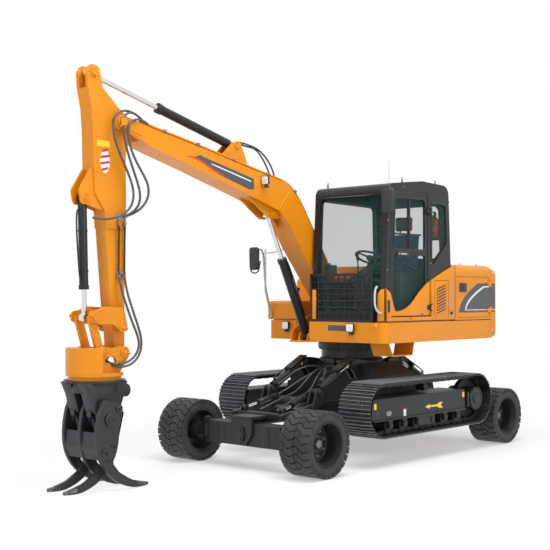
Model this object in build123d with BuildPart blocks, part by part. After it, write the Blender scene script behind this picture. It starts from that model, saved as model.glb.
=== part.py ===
"""Wheel and track excavator with a rotating timber grapple.

Everything is drawn from the point on the ground under the slew axis, +X to
the front, +Y to the cab's side and +Z up, in millimetres. Each finished piece
is then moved back by ORIGIN_X, so that the origin is on the ground under the
middle of the machine's length.
"""

from build123d import *
import os
from math import atan2, cos, degrees, hypot, pi, radians, sin, tan

os.makedirs("parts", exist_ok=True)

# Middle of the overall length, ahead of the slew axis
ORIGIN_X = 1075.46

# Running gear
WHEELBASE = 3826
WHEEL_TRACK = 1964
TYRE_OD = 740
TYRE_WIDTH = 409
RIM_R = 245
RIM_WIDTH = 370
HUB_R = 110
SPINDLE_R = 50
TRACK_CENTRE = 989
SHOE_WIDTH = 450
TRACK_BOTTOM = 336
TRACK_OUTER_R = 325
TRACK_THICK = 75
SPROCKET_X = -1124
IDLER_X = 901
TRACK_WHEEL_Z = TRACK_BOTTOM + TRACK_OUTER_R
AXLE_X = WHEELBASE / 2
AXLE_Z = TYRE_OD / 2
WHEEL_Y = WHEEL_TRACK / 2

# Fits
PIN_GAP = 0.3
SEAT = 0.3
SIDE_GAP = 5

# Undercarriage frame and lifting arms
FRAME_HALF_X = 345
FRAME_HALF_Y = 500
FRAME_TOP = 1150
FRAME_BOTTOM = 530
LEG_OUT = 800
ARM_PIVOT = (430, 640)
ARM_Y = 375
ARM_THICK = 60
ARM_PIN_R = 30
LIFT_LOW = (1158, 847)
LIFT_HIGH = (500, 1165)
LIFT_STROKE = 175
BEAM_LOW = 265
BEAM_HIGH = 520
BEAM_DEPTH = 220
KINGPIN_Y = 700
KINGPIN_R = 30
BEAM_END = 570
STEER_X = 180
STEER_IN = 30
STEER_Z = 400
RING_R = 430
RING_LOW = 1330
RING_HIGH = 1392

# Upper works
DECK_LOW = 1427
DECK_HIGH = 1672
BODY_Z = 1682
BODY_HALF_Y = 1068
TAIL_X = -1870
CAB_FRONT = 680
CAB_REAR = -740
CAB_RIGHT = -95
CAB_LEFT = BODY_HALF_Y - 28
CAB_TOP = 3400
HOOD_FRONT = -800
HOOD_TOP = 2400
WEIGHT_FRONT = -1690
BOX_FRONT = 430
BOX_LEFT = -560
CHANNEL_LEFT = -120
CHANNEL_REAR = -140
WALL = 40

# Boom, stick and linkage, all in the plane of the boom
BOOM_Y = -280
BOOM_WIDTH = 300
BOOM_FOOT = (80, 1870)
BOOM_PIN_R = 45
BOOM_TIP = (3720, 3820)
BOOM_CYL_FOOT = (558, 1480)
BOOM_CYL_EYE = (1313, 2997)
BOOM_CYL_GLAND = 1090
ARM_CYL_FOOT = (1925, 3769)
ARM_CYL_EYE = (4055, 4305)
ARM_CYL_GLAND = 1215
STICK_WIDTH = 190
BUCKET_CYL_FOOT = (4126, 3000)
BUCKET_CYL_EYE = (4090, 1770)
BUCKET_CYL_GLAND = 940
ROCKER_PIN = (3720, 1675)
LINK_PIN = (3977, 1420)
STICK_END = (3693, 1408)
STICK_PIN_R = 30

# Grapple
GRAPPLE_X = 3955
ROTATOR_LOW = 1130
DISC_R = 310
JAW_THREE_PIN = (3985, 735)
JAW_TWO_PIN = (3925, 735)
JAW_PIN_R = 28
TINE_THICK = 36
TINE_SPACING = 135


def rounded(rows):
    """Draw a closed outline from rows of (u, v, corner radius)."""
    spans = []
    for i, (u, v, radius) in enumerate(rows):
        before, after = rows[i - 1], rows[(i + 1) % len(rows)]
        back = (before[0] - u, before[1] - v)
        ahead = (after[0] - u, after[1] - v)
        back_length, ahead_length = hypot(*back), hypot(*ahead)
        bu, bv = back[0] / back_length, back[1] / back_length
        au, av = ahead[0] / ahead_length, ahead[1] / ahead_length
        half = atan2(abs(bu * av - bv * au), bu * au + bv * av) / 2
        reach = min(radius / tan(half), 0.49 * back_length, 0.49 * ahead_length) if radius else 0
        if reach < 0.5 or half > 1.565:
            spans.append(((u, v), None, (u, v)))
            continue
        radius = reach * tan(half)
        deep = (radius / sin(half) - radius) / hypot(bu + au, bv + av)
        spans.append((
            (u + bu * reach, v + bv * reach),
            (u + (bu + au) * deep, v + (bv + av) * deep),
            (u + au * reach, v + av * reach),
        ))
    with BuildLine() as edge:
        for i, (start, middle, end) in enumerate(spans):
            if middle is not None:
                ThreePointArc(start, middle, end)
            Line(end, spans[(i + 1) % len(spans)][0])
    return edge.line


def side_solid(rows, y_mid, width, mode=Mode.ADD):
    """Extrude a side outline in X and Z, centred on y_mid."""
    with BuildSketch(Plane.XZ.offset(-y_mid)) as profile:
        add(rounded(rows))
        make_face()
    return extrude(profile.sketch, amount=width / 2, both=True, mode=mode)


def plan_solid(rows, z_low, z_high, mode=Mode.ADD):
    """Extrude a plan outline in X and Y from z_low to z_high."""
    with BuildSketch(Plane.XY.offset(z_low)) as profile:
        add(rounded(rows))
        make_face()
    return extrude(profile.sketch, amount=z_high - z_low, mode=mode)


def front_solid(rows, x_back, x_front, mode=Mode.ADD):
    """Extrude a front outline in Y and Z from x_back to x_front."""
    with BuildSketch(Plane.YZ.offset(x_back)) as profile:
        add(rounded(rows))
        make_face()
    return extrude(profile.sketch, amount=x_front - x_back, mode=mode)


def cross_pin(at, radius, y_mid, width, mode=Mode.ADD):
    """A round bar along Y at a point of the X-Z plane."""
    with BuildSketch(Plane.XZ.offset(-y_mid)) as profile:
        with Locations(at):
            Circle(radius)
    return extrude(profile.sketch, amount=width / 2, both=True, mode=mode)


def block(low, high, mode=Mode.ADD):
    """A plain block between two corners."""
    with BuildSketch(Plane.XY.offset(low[2])) as profile:
        with Locations(((low[0] + high[0]) / 2, (low[1] + high[1]) / 2)):
            Rectangle(high[0] - low[0], high[1] - low[1])
    return extrude(profile.sketch, amount=high[2] - low[2], mode=mode)


def upright(x, y, radius, z_low, z_high, mode=Mode.ADD):
    """A round bar along Z."""
    with BuildSketch(Plane.XY.offset(z_low)) as profile:
        with Locations((x, y)):
            Circle(radius)
    return extrude(profile.sketch, amount=z_high - z_low, mode=mode)


def axis_plane(foot, eye, y_mid):
    """Plane across a cylinder at its foot, its normal along the cylinder."""
    direction = (eye[0] - foot[0], 0, eye[1] - foot[1])
    return Plane(origin=(foot[0], y_mid, foot[1]), x_dir=(0, 1, 0), z_dir=direction)


def barrel(foot, eye, gland, y_mid, outer_r, rod_r, eye_r, eye_width, pin_r, blind):
    """A cylinder tube with its foot eye, bored from its gland to `blind`."""
    plane = axis_plane(foot, eye, y_mid)
    with BuildSketch(plane) as tube:
        Circle(outer_r)
    extrude(tube.sketch, amount=gland)
    with BuildSketch(plane.offset(gland - outer_r)) as collar:
        Circle(outer_r * 1.14)
    extrude(collar.sketch, amount=outer_r)
    cross_pin(foot, eye_r + 38, y_mid, outer_r * 3, Mode.SUBTRACT)
    cross_pin(foot, eye_r, y_mid, eye_width)
    with BuildSketch(plane.offset(eye_r * 0.6)) as neck:
        Circle(min(outer_r, eye_width / 2) * 0.94)
    extrude(neck.sketch, amount=40 + eye_r)
    with BuildSketch(plane.offset(blind)) as bore:
        Circle(rod_r + PIN_GAP)
    extrude(bore.sketch, amount=gland - blind + 1, mode=Mode.SUBTRACT)
    cross_pin(foot, pin_r + PIN_GAP, y_mid, eye_width + 2, Mode.SUBTRACT)


def rod(foot, eye, inner, y_mid, rod_r, eye_r, eye_width):
    """A piston rod from `inner` along the cylinder to its eye."""
    length = hypot(eye[0] - foot[0], eye[1] - foot[1])
    plane = axis_plane(foot, eye, y_mid)
    with BuildSketch(plane.offset(inner)) as bar:
        Circle(rod_r)
    extrude(bar.sketch, amount=length - inner - eye_r * 0.5)
    cross_pin(eye, eye_r, y_mid, eye_width)
    with BuildSketch(plane.offset(length - eye_r - 45)) as neck:
        Circle(rod_r * 1.22)
    extrude(neck.sketch, amount=45 + eye_r * 0.5)


def finish(part, name):
    """Move a finished piece into the machine's frame and save it."""
    placed = part.moved(Location((-ORIGIN_X, 0, 0)))
    placed.label = name
    export_step(placed, "parts/" + name + ".step")
    print(name, len(placed.solids()), round(placed.volume / 1e6, 3))


def mirrored(rows):
    """The same side outline for the rear of the machine."""
    return [(-x, z, r) for x, z, r in rows]


# Undercarriage: centre box, legs and track beams in one weldment
LEG_SECTION = [
    (-FRAME_HALF_Y, FRAME_TOP, 20), (FRAME_HALF_Y, FRAME_TOP, 20), (752, 1004, 12), (752, 880, 0),
    (LEG_OUT, 880, 0), (LEG_OUT, 590, 0), (440, FRAME_BOTTOM, 30), (-440, FRAME_BOTTOM, 30),
    (-LEG_OUT, 590, 0), (-LEG_OUT, 880, 0), (-752, 880, 0), (-752, 1004, 12),
]
BEAM_SIDE = [
    (-862, 540, 30), (1120, 540, 60), (1120, 610, 0), (1120, 700, 60), (1085, 800, 30), (-850, 800, 30),
]
LUG_HIGH = [
    (200, FRAME_TOP - 40, 0), (430, 960, 0), (545, 1090, 30), (545, 1210, 44), (500, 1210, 0),
    (420, 1208, 20), (230, FRAME_TOP + 30, 20),
]
LUG_LOW = [
    (FRAME_HALF_X - 60, 560, 0), (ARM_PIVOT[0] + 70, 565, 60), (ARM_PIVOT[0] + 70, 715, 60),
    (FRAME_HALF_X - 60, 760, 0),
]
LUG_PLATE = 22
LIFT_GAP = 70
PIVOT_WIDTH = 90

with BuildPart() as chassis_frame:
    front_solid(LEG_SECTION, -FRAME_HALF_X, FRAME_HALF_X)
    upright(0, 0, RING_R - 45, FRAME_TOP - 5, RING_LOW)
    for side in (-1, 1):
        side_solid(BEAM_SIDE, side * (LEG_OUT + 185), 370)
        y_low, y_high = sorted((side * (TRACK_CENTRE - 217), side * (LEG_OUT + 5)))
        block((SPROCKET_X - 60, y_low, 560), (-400, y_high, 760))
        for end in (1, -1):
            turn = (lambda rows: rows) if end == 1 else mirrored
            for out in (-1, 1):
                lug_y = side * ARM_Y + out * (LIFT_GAP / 2 + LUG_PLATE / 2)
                side_solid(turn(LUG_HIGH), lug_y, LUG_PLATE)
                lug_y = side * ARM_Y + out * (PIVOT_WIDTH / 2 + 2 + LUG_PLATE / 2)
                side_solid(turn(LUG_LOW), lug_y, LUG_PLATE)
            pin_at = (end * ARM_PIVOT[0], ARM_PIVOT[1])
            cross_pin(pin_at, ARM_PIN_R, side * ARM_Y, PIVOT_WIDTH + 4 + 2 * LUG_PLATE + 16)
finish(chassis_frame.part, "chassis_frame")

with BuildPart() as slew_ring:
    upright(0, 0, RING_R, RING_LOW, RING_HIGH)
finish(slew_ring.part, "slew_ring")

# Tracks: one closed belt each, and the wheels that it runs on
RUN = IDLER_X - SPROCKET_X
TRACK_MID_X = (IDLER_X + SPROCKET_X) / 2
TRACK_INNER_R = TRACK_OUTER_R - TRACK_THICK
SHOES = 43
SHOE_PITCH = 2 * (RUN + pi * TRACK_OUTER_R) / SHOES
SHOE_GAP = 7
SHOE_GAP_DEPTH = 20
RIB = 14
RIB_HEIGHT = 12


def round_belt(distance):
    """Where a point of the belt's outer face lies, from the middle of the top run: (x, z, turn)."""
    half_run, bend = RUN / 2, pi * TRACK_OUTER_R
    along = (distance + half_run) % (2 * (RUN + bend))
    if along < RUN:
        return along - half_run, TRACK_OUTER_R, 0
    if along < RUN + bend:
        turn = (along - RUN) / TRACK_OUTER_R
        return half_run + TRACK_OUTER_R * sin(turn), TRACK_OUTER_R * cos(turn), -degrees(turn)
    if along < 2 * RUN + bend:
        return half_run - (along - RUN - bend), -TRACK_OUTER_R, 180
    turn = (along - 2 * RUN - bend) / TRACK_OUTER_R
    return -half_run - TRACK_OUTER_R * sin(turn), -TRACK_OUTER_R * cos(turn), 180 - degrees(turn)


def belt_places(shift):
    """One place in each shoe, the shift counted along the belt from the shoe's middle."""
    places = []
    for i in range(SHOES):
        x, z, turn = round_belt((i + 0.5) * SHOE_PITCH + shift)
        places.append(Location((x, z, 0), (0, 0, turn)))
    return places


with BuildSketch() as belt_outline:
    SlotCenterToCenter(RUN, 2 * TRACK_OUTER_R)
    SlotCenterToCenter(RUN, 2 * TRACK_INNER_R, mode=Mode.SUBTRACT)
    with Locations(belt_places(SHOE_PITCH / 2)):
        Rectangle(SHOE_GAP, 2 * SHOE_GAP_DEPTH, mode=Mode.SUBTRACT)
    with Locations(belt_places(0)):
        Rectangle(SHOE_PITCH - SHOE_GAP - 2 * RIB, 2 * RIB_HEIGHT, mode=Mode.SUBTRACT)

for name, side in (("track_left", 1), ("track_right", -1)):
    with BuildPart() as track:
        middle = (TRACK_MID_X, side * TRACK_CENTRE, TRACK_WHEEL_Z)
        with BuildSketch(Plane(origin=middle, x_dir=(1, 0, 0), z_dir=(0, -1, 0))) as belt:
            add(belt_outline.sketch)
        extrude(belt.sketch, amount=SHOE_WIDTH / 2, both=True)
    finish(track.part, name)

# Rollers: (x, centre height, radius)
ROLLER_R = 62
ROLLER_Z = TRACK_BOTTOM + TRACK_THICK + ROLLER_R + SEAT
GUARD_PLATE_LOW = TRACK_BOTTOM + TRACK_THICK + 18
CARRIER_R = 45
CARRIER_Z = TRACK_BOTTOM + 2 * TRACK_OUTER_R - TRACK_THICK - CARRIER_R - SEAT
with BuildPart() as track_wheels:
    for side in (-1, 1):
        y = side * TRACK_CENTRE
        cross_pin((SPROCKET_X, TRACK_WHEEL_Z), TRACK_INNER_R - SEAT, y, 60)
        cross_pin((SPROCKET_X, TRACK_WHEEL_Z), 150, y, 360)
        for step in range(6):
            roller_x = -700 + step * 290
            cross_pin((roller_x, ROLLER_Z), ROLLER_R, y, 300)
            cross_pin((roller_x, ROLLER_Z), 20, y, 356)
            for out in (-1, 1):
                block((roller_x - 40, y + out * 170 - 9, 440), (roller_x + 40, y + out * 170 + 9, 540))
        for out in (-1, 1):
            block((-170, y + out * 170 - 9, GUARD_PLATE_LOW), (150, y + out * 170 + 9, 540))
        cross_pin((-150, CARRIER_Z), CARRIER_R, y, 120)
finish(track_wheels.part, "track_wheels")

# Lifting arms
ARM_SIDE = [
    (ARM_PIVOT[0] - 68, ARM_PIVOT[1] - 68, 67), (1250, 575, 60), (1800, 560, 20), (1800, 625, 20),
    (1330, 690, 60), (1060, 730, 60), (ARM_PIVOT[0] - 68, ARM_PIVOT[1] + 68, 67),
]
LIFT_BRACKET = [
    (1020, 690, 0), (1290, 660, 0), (1225, 850, 60), (1158, 915, 50), (1090, 850, 60),
]
CROSS_TUBE = (1100, 690)


def lifting_arms(end):
    """Side arms, cylinder brackets, cross tube and front member; end is 1 or -1."""
    turn = (lambda rows: rows) if end == 1 else mirrored
    for side in (-1, 1):
        side_solid(turn(ARM_SIDE), side * ARM_Y, ARM_THICK)
        pivot = (end * ARM_PIVOT[0], ARM_PIVOT[1])
        cross_pin(pivot, 66, side * ARM_Y, PIVOT_WIDTH)
        cross_pin(pivot, ARM_PIN_R + PIN_GAP, side * ARM_Y, PIVOT_WIDTH + 2, Mode.SUBTRACT)
        for out in (-1, 1):
            plate_y = side * ARM_Y + out * (LIFT_GAP / 2 + LUG_PLATE / 2)
            side_solid(turn(LIFT_BRACKET), plate_y, LUG_PLATE)
        cross_pin((end * LIFT_LOW[0], LIFT_LOW[1]), 25, side * ARM_Y, LIFT_GAP + 2 * LUG_PLATE + 16)
    cross_pin((end * CROSS_TUBE[0], CROSS_TUBE[1]), 72, 0, 2 * ARM_Y)
    x_low, x_high = sorted((end * 1640, end * 1785))
    block((x_low, -ARM_Y - 45, 560), (x_high, ARM_Y + 45, 625))


BRACKET_FRONT = [
    (-160, 608, 12), (160, 608, 12), (160, 400, 20), (60, 272, 20), (-60, 272, 20), (-160, 400, 20),
]
PIVOT_PIN_R = 45
with BuildPart() as front_lift_arm:
    lifting_arms(1)
    beam_front = AXLE_X + BEAM_DEPTH / 2
    beam_back = AXLE_X - BEAM_DEPTH / 2
    front_solid(BRACKET_FRONT, beam_front + SIDE_GAP, beam_front + SIDE_GAP + 28)
    block((1640, -160, 580), (beam_front + SIDE_GAP + 28, 160, 608))
    with BuildSketch(Plane.YZ.offset(beam_front + SIDE_GAP + 10)) as pin_ring:
        with Locations((0, 400)):
            Circle(60)
    extrude(pin_ring.sketch, amount=36)
    with BuildSketch(Plane.YZ.offset(beam_back + 20)) as long_pin:
        with Locations((0, 400)):
            Circle(PIVOT_PIN_R)
    extrude(long_pin.sketch, amount=BEAM_DEPTH + SIDE_GAP + 5)
finish(front_lift_arm.part, "front_lift_arm")

with BuildPart() as front_axle:
    block((beam_back, -BEAM_END, BEAM_LOW), (beam_front, BEAM_END, BEAM_HIGH))
    for side in (-1, 1):
        y_low, y_high = sorted((side * BEAM_END, side * KINGPIN_Y))
        for z_low, z_high in ((BEAM_LOW, BEAM_LOW + 42), (BEAM_HIGH - 42, BEAM_HIGH)):
            block((AXLE_X - 60, y_low, z_low), (AXLE_X + 60, y_high, z_high))
            upright(AXLE_X, side * KINGPIN_Y, 60, z_low, z_high)
        upright(AXLE_X, side * KINGPIN_Y, KINGPIN_R, BEAM_LOW - 12, BEAM_HIGH + 12)
        block(
            (beam_back - 90, side * 170 - 15, STEER_Z - 40), (beam_back + 5, side * 170 + 15, STEER_Z + 40),
        )
    cross_pin((AXLE_X - STEER_X, STEER_Z), 45, 0, 420)
    cross_pin((AXLE_X - STEER_X, STEER_Z), 20 + PIN_GAP, 0, 440, Mode.SUBTRACT)
    with BuildSketch(Plane.YZ.offset(beam_back + 20 - 2)) as pin_bore:
        with Locations((0, 400)):
            Circle(PIVOT_PIN_R + PIN_GAP)
    extrude(pin_bore.sketch, amount=BEAM_DEPTH, mode=Mode.SUBTRACT)
finish(front_axle.part, "front_axle")

with BuildPart() as steering_rod:
    cross_pin((AXLE_X - STEER_X, STEER_Z), 20, 0, 2 * (KINGPIN_Y - STEER_IN) - 40)
    for side in (-1, 1):
        upright(AXLE_X - STEER_X, side * (KINGPIN_Y - STEER_IN), 28, STEER_Z - 20, STEER_Z + 20)
finish(steering_rod.part, "steering_rod")

SPINDLE_END = WHEEL_Y - 25
for name, side in (("knuckle_left", 1), ("knuckle_right", -1)):
    with BuildPart() as knuckle:
        upright(AXLE_X, side * KINGPIN_Y, 52, BEAM_LOW + 42 + 3, BEAM_HIGH - 42 - 3)
        cross_pin((AXLE_X, AXLE_Z), SPINDLE_R, side * (KINGPIN_Y + SPINDLE_END) / 2, SPINDLE_END - KINGPIN_Y)
        arm_end = (AXLE_X - STEER_X, side * (KINGPIN_Y - STEER_IN))
        with BuildSketch(Plane.XY.offset(STEER_Z + 25)) as arm_plan:
            with Locations(((arm_end[0] + AXLE_X) / 2, side * (KINGPIN_Y - STEER_IN / 2))):
                lean = side * degrees(atan2(STEER_IN, STEER_X))
                SlotCenterToCenter(hypot(STEER_X, STEER_IN), 50, rotation=lean)
        extrude(arm_plan.sketch, amount=24)
        upright(AXLE_X, side * KINGPIN_Y, KINGPIN_R + PIN_GAP, BEAM_LOW, BEAM_HIGH, Mode.SUBTRACT)
    finish(knuckle.part, name)

with BuildPart() as rear_lift_arm:
    lifting_arms(-1)
    block((-beam_front, -KINGPIN_Y, BEAM_LOW), (-beam_back, KINGPIN_Y, BEAM_HIGH))
    for side in (-1, 1):
        y_low, y_high = sorted((side * (ARM_Y - 30), side * (ARM_Y + 30)))
        block((-1850, y_low, BEAM_HIGH - 30), (-1700, y_high, 625))
        cross_pin((-AXLE_X, AXLE_Z), 85, side * (KINGPIN_Y + 25), 60)
        cross_pin((-AXLE_X, AXLE_Z), SPINDLE_R, side * (KINGPIN_Y + SPINDLE_END) / 2, SPINDLE_END - KINGPIN_Y)
finish(rear_lift_arm.part, "rear_lift_arm")

# Wheels: (name, x, side)
WHEELS = (
    ("front_left", AXLE_X, 1), ("front_right", AXLE_X, -1),
    ("rear_left", -AXLE_X, 1), ("rear_right", -AXLE_X, -1),
)
TYRE_HALF = TYRE_WIDTH / 2
SHOULDER_R = TYRE_OD / 2 - 45
TYRE_SECTION = [
    (-RIM_WIDTH / 2, RIM_R, 8), (RIM_WIDTH / 2, RIM_R, 8), (TYRE_HALF, 285, 40),
    (TYRE_HALF, SHOULDER_R - 10, 12), (TYRE_HALF - 20, SHOULDER_R, 0),
    (-TYRE_HALF + 20, SHOULDER_R, 0), (-TYRE_HALF, SHOULDER_R - 10, 12), (-TYRE_HALF, 285, 40),
]
# Tread: a ring of blocks on each half of the twin wheel, one set half a block ahead
LUGS = 26
LUG_GROOVE = 14
LUG_DEPTH = 26
TREAD_IN = 9
TREAD_OUT = TYRE_HALF - 8


def wheel_plane(x, side):
    """Section plane through a wheel's axis, local x outboard and local y up."""
    return Plane(origin=(x, side * WHEEL_Y, AXLE_Z), x_dir=(0, side, 0), z_dir=(side, 0, 0))


with BuildPart() as tyre:
    with BuildSketch(Plane.YZ) as section:
        add(rounded(TYRE_SECTION))
        make_face()
    revolve(section.sketch, axis=Axis.Y)
    for half in (-1, 1):
        with BuildSketch(Plane.XZ.offset(-half * TREAD_IN)) as tread:
            Circle(TYRE_OD / 2)
            Circle(SHOULDER_R - 15, mode=Mode.SUBTRACT)
            first = 180 / LUGS if half == 1 else 0
            with PolarLocations(TYRE_OD / 2, LUGS, start_angle=first):
                Rectangle(2 * LUG_DEPTH, LUG_GROOVE, mode=Mode.SUBTRACT)
        extrude(tread.sketch, amount=-half * (TREAD_OUT - TREAD_IN))

for place, x, side in WHEELS:
    spin_axis = Axis((x, side * WHEEL_Y, AXLE_Z), (0, 1, 0))
    finish(tyre.part.moved(Location((x, side * WHEEL_Y, AXLE_Z))), "tyre_" + place)
    with BuildPart() as rim:
        with BuildSketch(wheel_plane(x, side)) as section:
            with BuildLine():
                Polyline(
                    (-RIM_WIDTH / 2, RIM_R - SEAT), (RIM_WIDTH / 2, RIM_R - SEAT),
                    (RIM_WIDTH / 2 + 6, RIM_R - 12), (RIM_WIDTH / 2 - 60, RIM_R - 30), (10, RIM_R - 34),
                    (0, 180), (-4, HUB_R), (30, HUB_R - 8), (34, 60), (50, 52), (50, 0), (-20, 0),
                    (-20, SPINDLE_R + PIN_GAP), (-175, SPINDLE_R + PIN_GAP), (-175, 95), (-120, HUB_R),
                    (-32, HUB_R + 10), (-26, RIM_R - 30), (-RIM_WIDTH / 2, RIM_R - 10), close=True,
                )
            make_face()
        revolve(section.sketch, axis=spin_axis)
    finish(rim.part, "rim_" + place)

# Lift cylinders, both sides of one axle on one body
LIFT_LENGTH = hypot(LIFT_HIGH[0] - LIFT_LOW[0], LIFT_HIGH[1] - LIFT_LOW[1])
LIFT_GLAND = 455
LIFT_BARREL_R = 52
LIFT_ROD_R = 26
for place, end in (("front", 1), ("rear", -1)):
    low = (end * LIFT_LOW[0], LIFT_LOW[1])
    high = (end * LIFT_HIGH[0], LIFT_HIGH[1])
    with BuildPart() as lift_barrels:
        for side in (-1, 1):
            y = side * ARM_Y
            barrel(low, high, LIFT_GLAND, y, LIFT_BARREL_R, LIFT_ROD_R, 42, LIFT_GAP - 6, 25, 60)
            cover = axis_plane(low, high, y)
            up = -1 if cover.y_dir.Z < 0 else 1
            with BuildSketch(cover.offset(LIFT_GLAND - 45)) as cover_end:
                with Locations((0, up * (LIFT_BARREL_R + 14))):
                    Rectangle(116, 12)
            extrude(cover_end.sketch, amount=LIFT_LENGTH - LIFT_GLAND + 60)
            with BuildSketch(cover.offset(LIFT_GLAND - 45)) as cover_foot:
                with Locations((0, up * (LIFT_BARREL_R + 4))):
                    Rectangle(50, 20)
            extrude(cover_foot.sketch, amount=35)
    finish(lift_barrels.part, place + "_lift_barrels")
    with BuildPart() as lift_rods:
        for side in (-1, 1):
            rod(low, high, 250, side * ARM_Y, LIFT_ROD_R, 38, LIFT_GAP - 2 * SIDE_GAP)
    finish(lift_rods.part, place + "_lift_rods")

# Upper works: deck with the boom's brackets
DECK_PLAN = [
    (730, CHANNEL_LEFT, 45), (730, BODY_HALF_Y, 90), (WEIGHT_FRONT, BODY_HALF_Y, 0),
    (WEIGHT_FRONT, -BODY_HALF_Y, 0), (BOX_FRONT, -BODY_HALF_Y, 90), (BOX_FRONT, BOX_LEFT, 45),
    (CHANNEL_REAR, BOX_LEFT, 0), (CHANNEL_REAR, CHANNEL_LEFT, 0),
]
BRACKET_SIDE = [
    (CHANNEL_REAR - 20, DECK_LOW, 0), (CHANNEL_REAR - 20, 1780, 60), (-40, 1985, 100), (190, 1990, 100),
    (250, 1780, 80), (640, 1560, 60), (680, DECK_LOW, 0),
]
BRACKET_PLATE = 20
BRACKET_GAP = BOOM_WIDTH + 2 * SIDE_GAP
CYL_LUG = [
    (470, DECK_LOW - 10, 0), (640, DECK_LOW - 10, 0), (615, 1532, 50), (500, 1532, 50),
]
TONGUE = [
    (CHANNEL_REAR - 40, BOX_LEFT - 40, 0), (400, BOX_LEFT + 30, 0), (600, BOX_LEFT + 60, 0), (810, -360, 40),
    (810, -200, 40), (600, CHANNEL_LEFT + 30, 0), (CHANNEL_REAR - 40, CHANNEL_LEFT + 30, 0),
]
with BuildPart() as platform:
    plan_solid(DECK_PLAN, DECK_LOW, DECK_HIGH)
    plinth = 14
    block((CAB_REAR + plinth, CAB_RIGHT + plinth, DECK_HIGH), (CAB_FRONT - plinth, CAB_LEFT - plinth, BODY_Z))
    plinth_y = BODY_HALF_Y - 78
    block((WEIGHT_FRONT + plinth, -plinth_y, DECK_HIGH), (HOOD_FRONT - plinth, plinth_y, BODY_Z))
    block((HOOD_FRONT + 30, -plinth_y, DECK_HIGH), (BOX_FRONT - 30, BOX_LEFT - plinth, BODY_Z))
    upright(0, 0, RING_R - 40, RING_HIGH + SEAT, DECK_LOW + 5)
    plan_solid(TONGUE, DECK_LOW - 14, DECK_LOW)
    for out in (-1, 1):
        side_solid(BRACKET_SIDE, BOOM_Y + out * (BRACKET_GAP / 2 + BRACKET_PLATE / 2), BRACKET_PLATE)
        side_solid(CYL_LUG, BOOM_Y + out * 71, 26)
    cross_pin(BOOM_FOOT, BOOM_PIN_R, BOOM_Y, BRACKET_GAP + 2 * BRACKET_PLATE)
    cross_pin(BOOM_CYL_FOOT, 30, BOOM_Y, 2 * 84 + 16)
finish(platform.part, "platform")

STEP_FOLD = [
    (560, DECK_LOW), (480, 1262), (60, 1262), (20, DECK_LOW), (34, DECK_LOW), (72, 1276), (468, 1276),
    (546, DECK_LOW),
]
with BuildPart() as cab_step:
    with BuildSketch(Plane.XZ.offset(-860)) as fold:
        with BuildLine():
            Polyline(*STEP_FOLD, close=True)
        make_face()
    extrude(fold.sketch, amount=140, both=True)
finish(cab_step.part, "cab_step")

TAIL_TOP_R = 120
TAIL_FOOT_R = 80
with BuildPart() as counterweight:
    plan_solid([
        (WEIGHT_FRONT, BODY_HALF_Y, 0), (TAIL_X, BODY_HALF_Y, 160),
        (TAIL_X, -BODY_HALF_Y, 160), (WEIGHT_FRONT, -BODY_HALF_Y, 0),
    ], DECK_LOW, HOOD_TOP - 20)
    for level, radius in ((-1, TAIL_TOP_R), (0, TAIL_FOOT_R)):
        weight_edges = counterweight.edges().group_by(Axis.Z)[level]
        fillet(weight_edges.filter_by(lambda e: e.center().X < WEIGHT_FRONT - 10), radius)
finish(counterweight.part, "counterweight")

# Engine hood: a shell over the engine, with the side door's opening cut
DOOR_X = (-1640, -850)
DOOR_Z = (1715, 2240)
HOOD_WALL = 40
HINGE_PIN_R = 6
HOOD_HINGE = (DOOR_X[0] - 5, BODY_HALF_Y + 14)
HOOD_HINGE_Z = (1800, 2160)


def hinge_lugs(at, z_mid, low, high):
    """The fixed half of a small hinge: two lugs and the pin between them."""
    for z_low in (z_mid - 45, z_mid + 33):
        block((low[0], low[1], z_low), (at[0], high[1], z_low + 12))
        block((at[0], at[1] - 6, z_low), (high[0], at[1] + 6, z_low + 12))
    upright(at[0], at[1], HINGE_PIN_R, z_mid - 45, z_mid + 45)


with BuildPart() as engine_hood:
    block((WEIGHT_FRONT, -BODY_HALF_Y, BODY_Z), (HOOD_FRONT, BODY_HALF_Y, HOOD_TOP))
    fillet(engine_hood.edges().filter_by(Axis.X).group_by(Axis.Z)[-1], 110)
    block(
        (WEIGHT_FRONT + HOOD_WALL, HOOD_WALL - BODY_HALF_Y, BODY_Z - 1),
        (HOOD_FRONT - HOOD_WALL, BODY_HALF_Y - HOOD_WALL, HOOD_TOP - 115), Mode.SUBTRACT,
    )
    block(
        (DOOR_X[0] - 5, BODY_HALF_Y - HOOD_WALL - 1, DOOR_Z[0] - 5),
        (DOOR_X[1] + 5, BODY_HALF_Y + 1, DOOR_Z[1] + 5), Mode.SUBTRACT,
    )
    for z in HOOD_HINGE_Z:
        hinge_lugs(HOOD_HINGE, z, (DOOR_X[0] - 45, BODY_HALF_Y - 2), (DOOR_X[0] + 3, BODY_HALF_Y + 26))
finish(engine_hood.part, "engine_hood")

with BuildPart() as engine_door:
    block((DOOR_X[0], BODY_HALF_Y - 34, DOOR_Z[0]), (DOOR_X[1], BODY_HALF_Y, DOOR_Z[1]))
    for z in HOOD_HINGE_Z:
        block((DOOR_X[0], BODY_HALF_Y - 8, z - 30), (DOOR_X[0] + 50, BODY_HALF_Y + 22, z + 30))
        upright(HOOD_HINGE[0], HOOD_HINGE[1], 12, z - 30, z + 30)
        upright(HOOD_HINGE[0], HOOD_HINGE[1], HINGE_PIN_R + PIN_GAP, z - 31, z + 31, Mode.SUBTRACT)
finish(engine_door.part, "engine_door")

with BuildPart() as engine_block:
    block((-1560, -420, BODY_Z), (-980, 420, 2180))
finish(engine_block.part, "engine_block")

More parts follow.
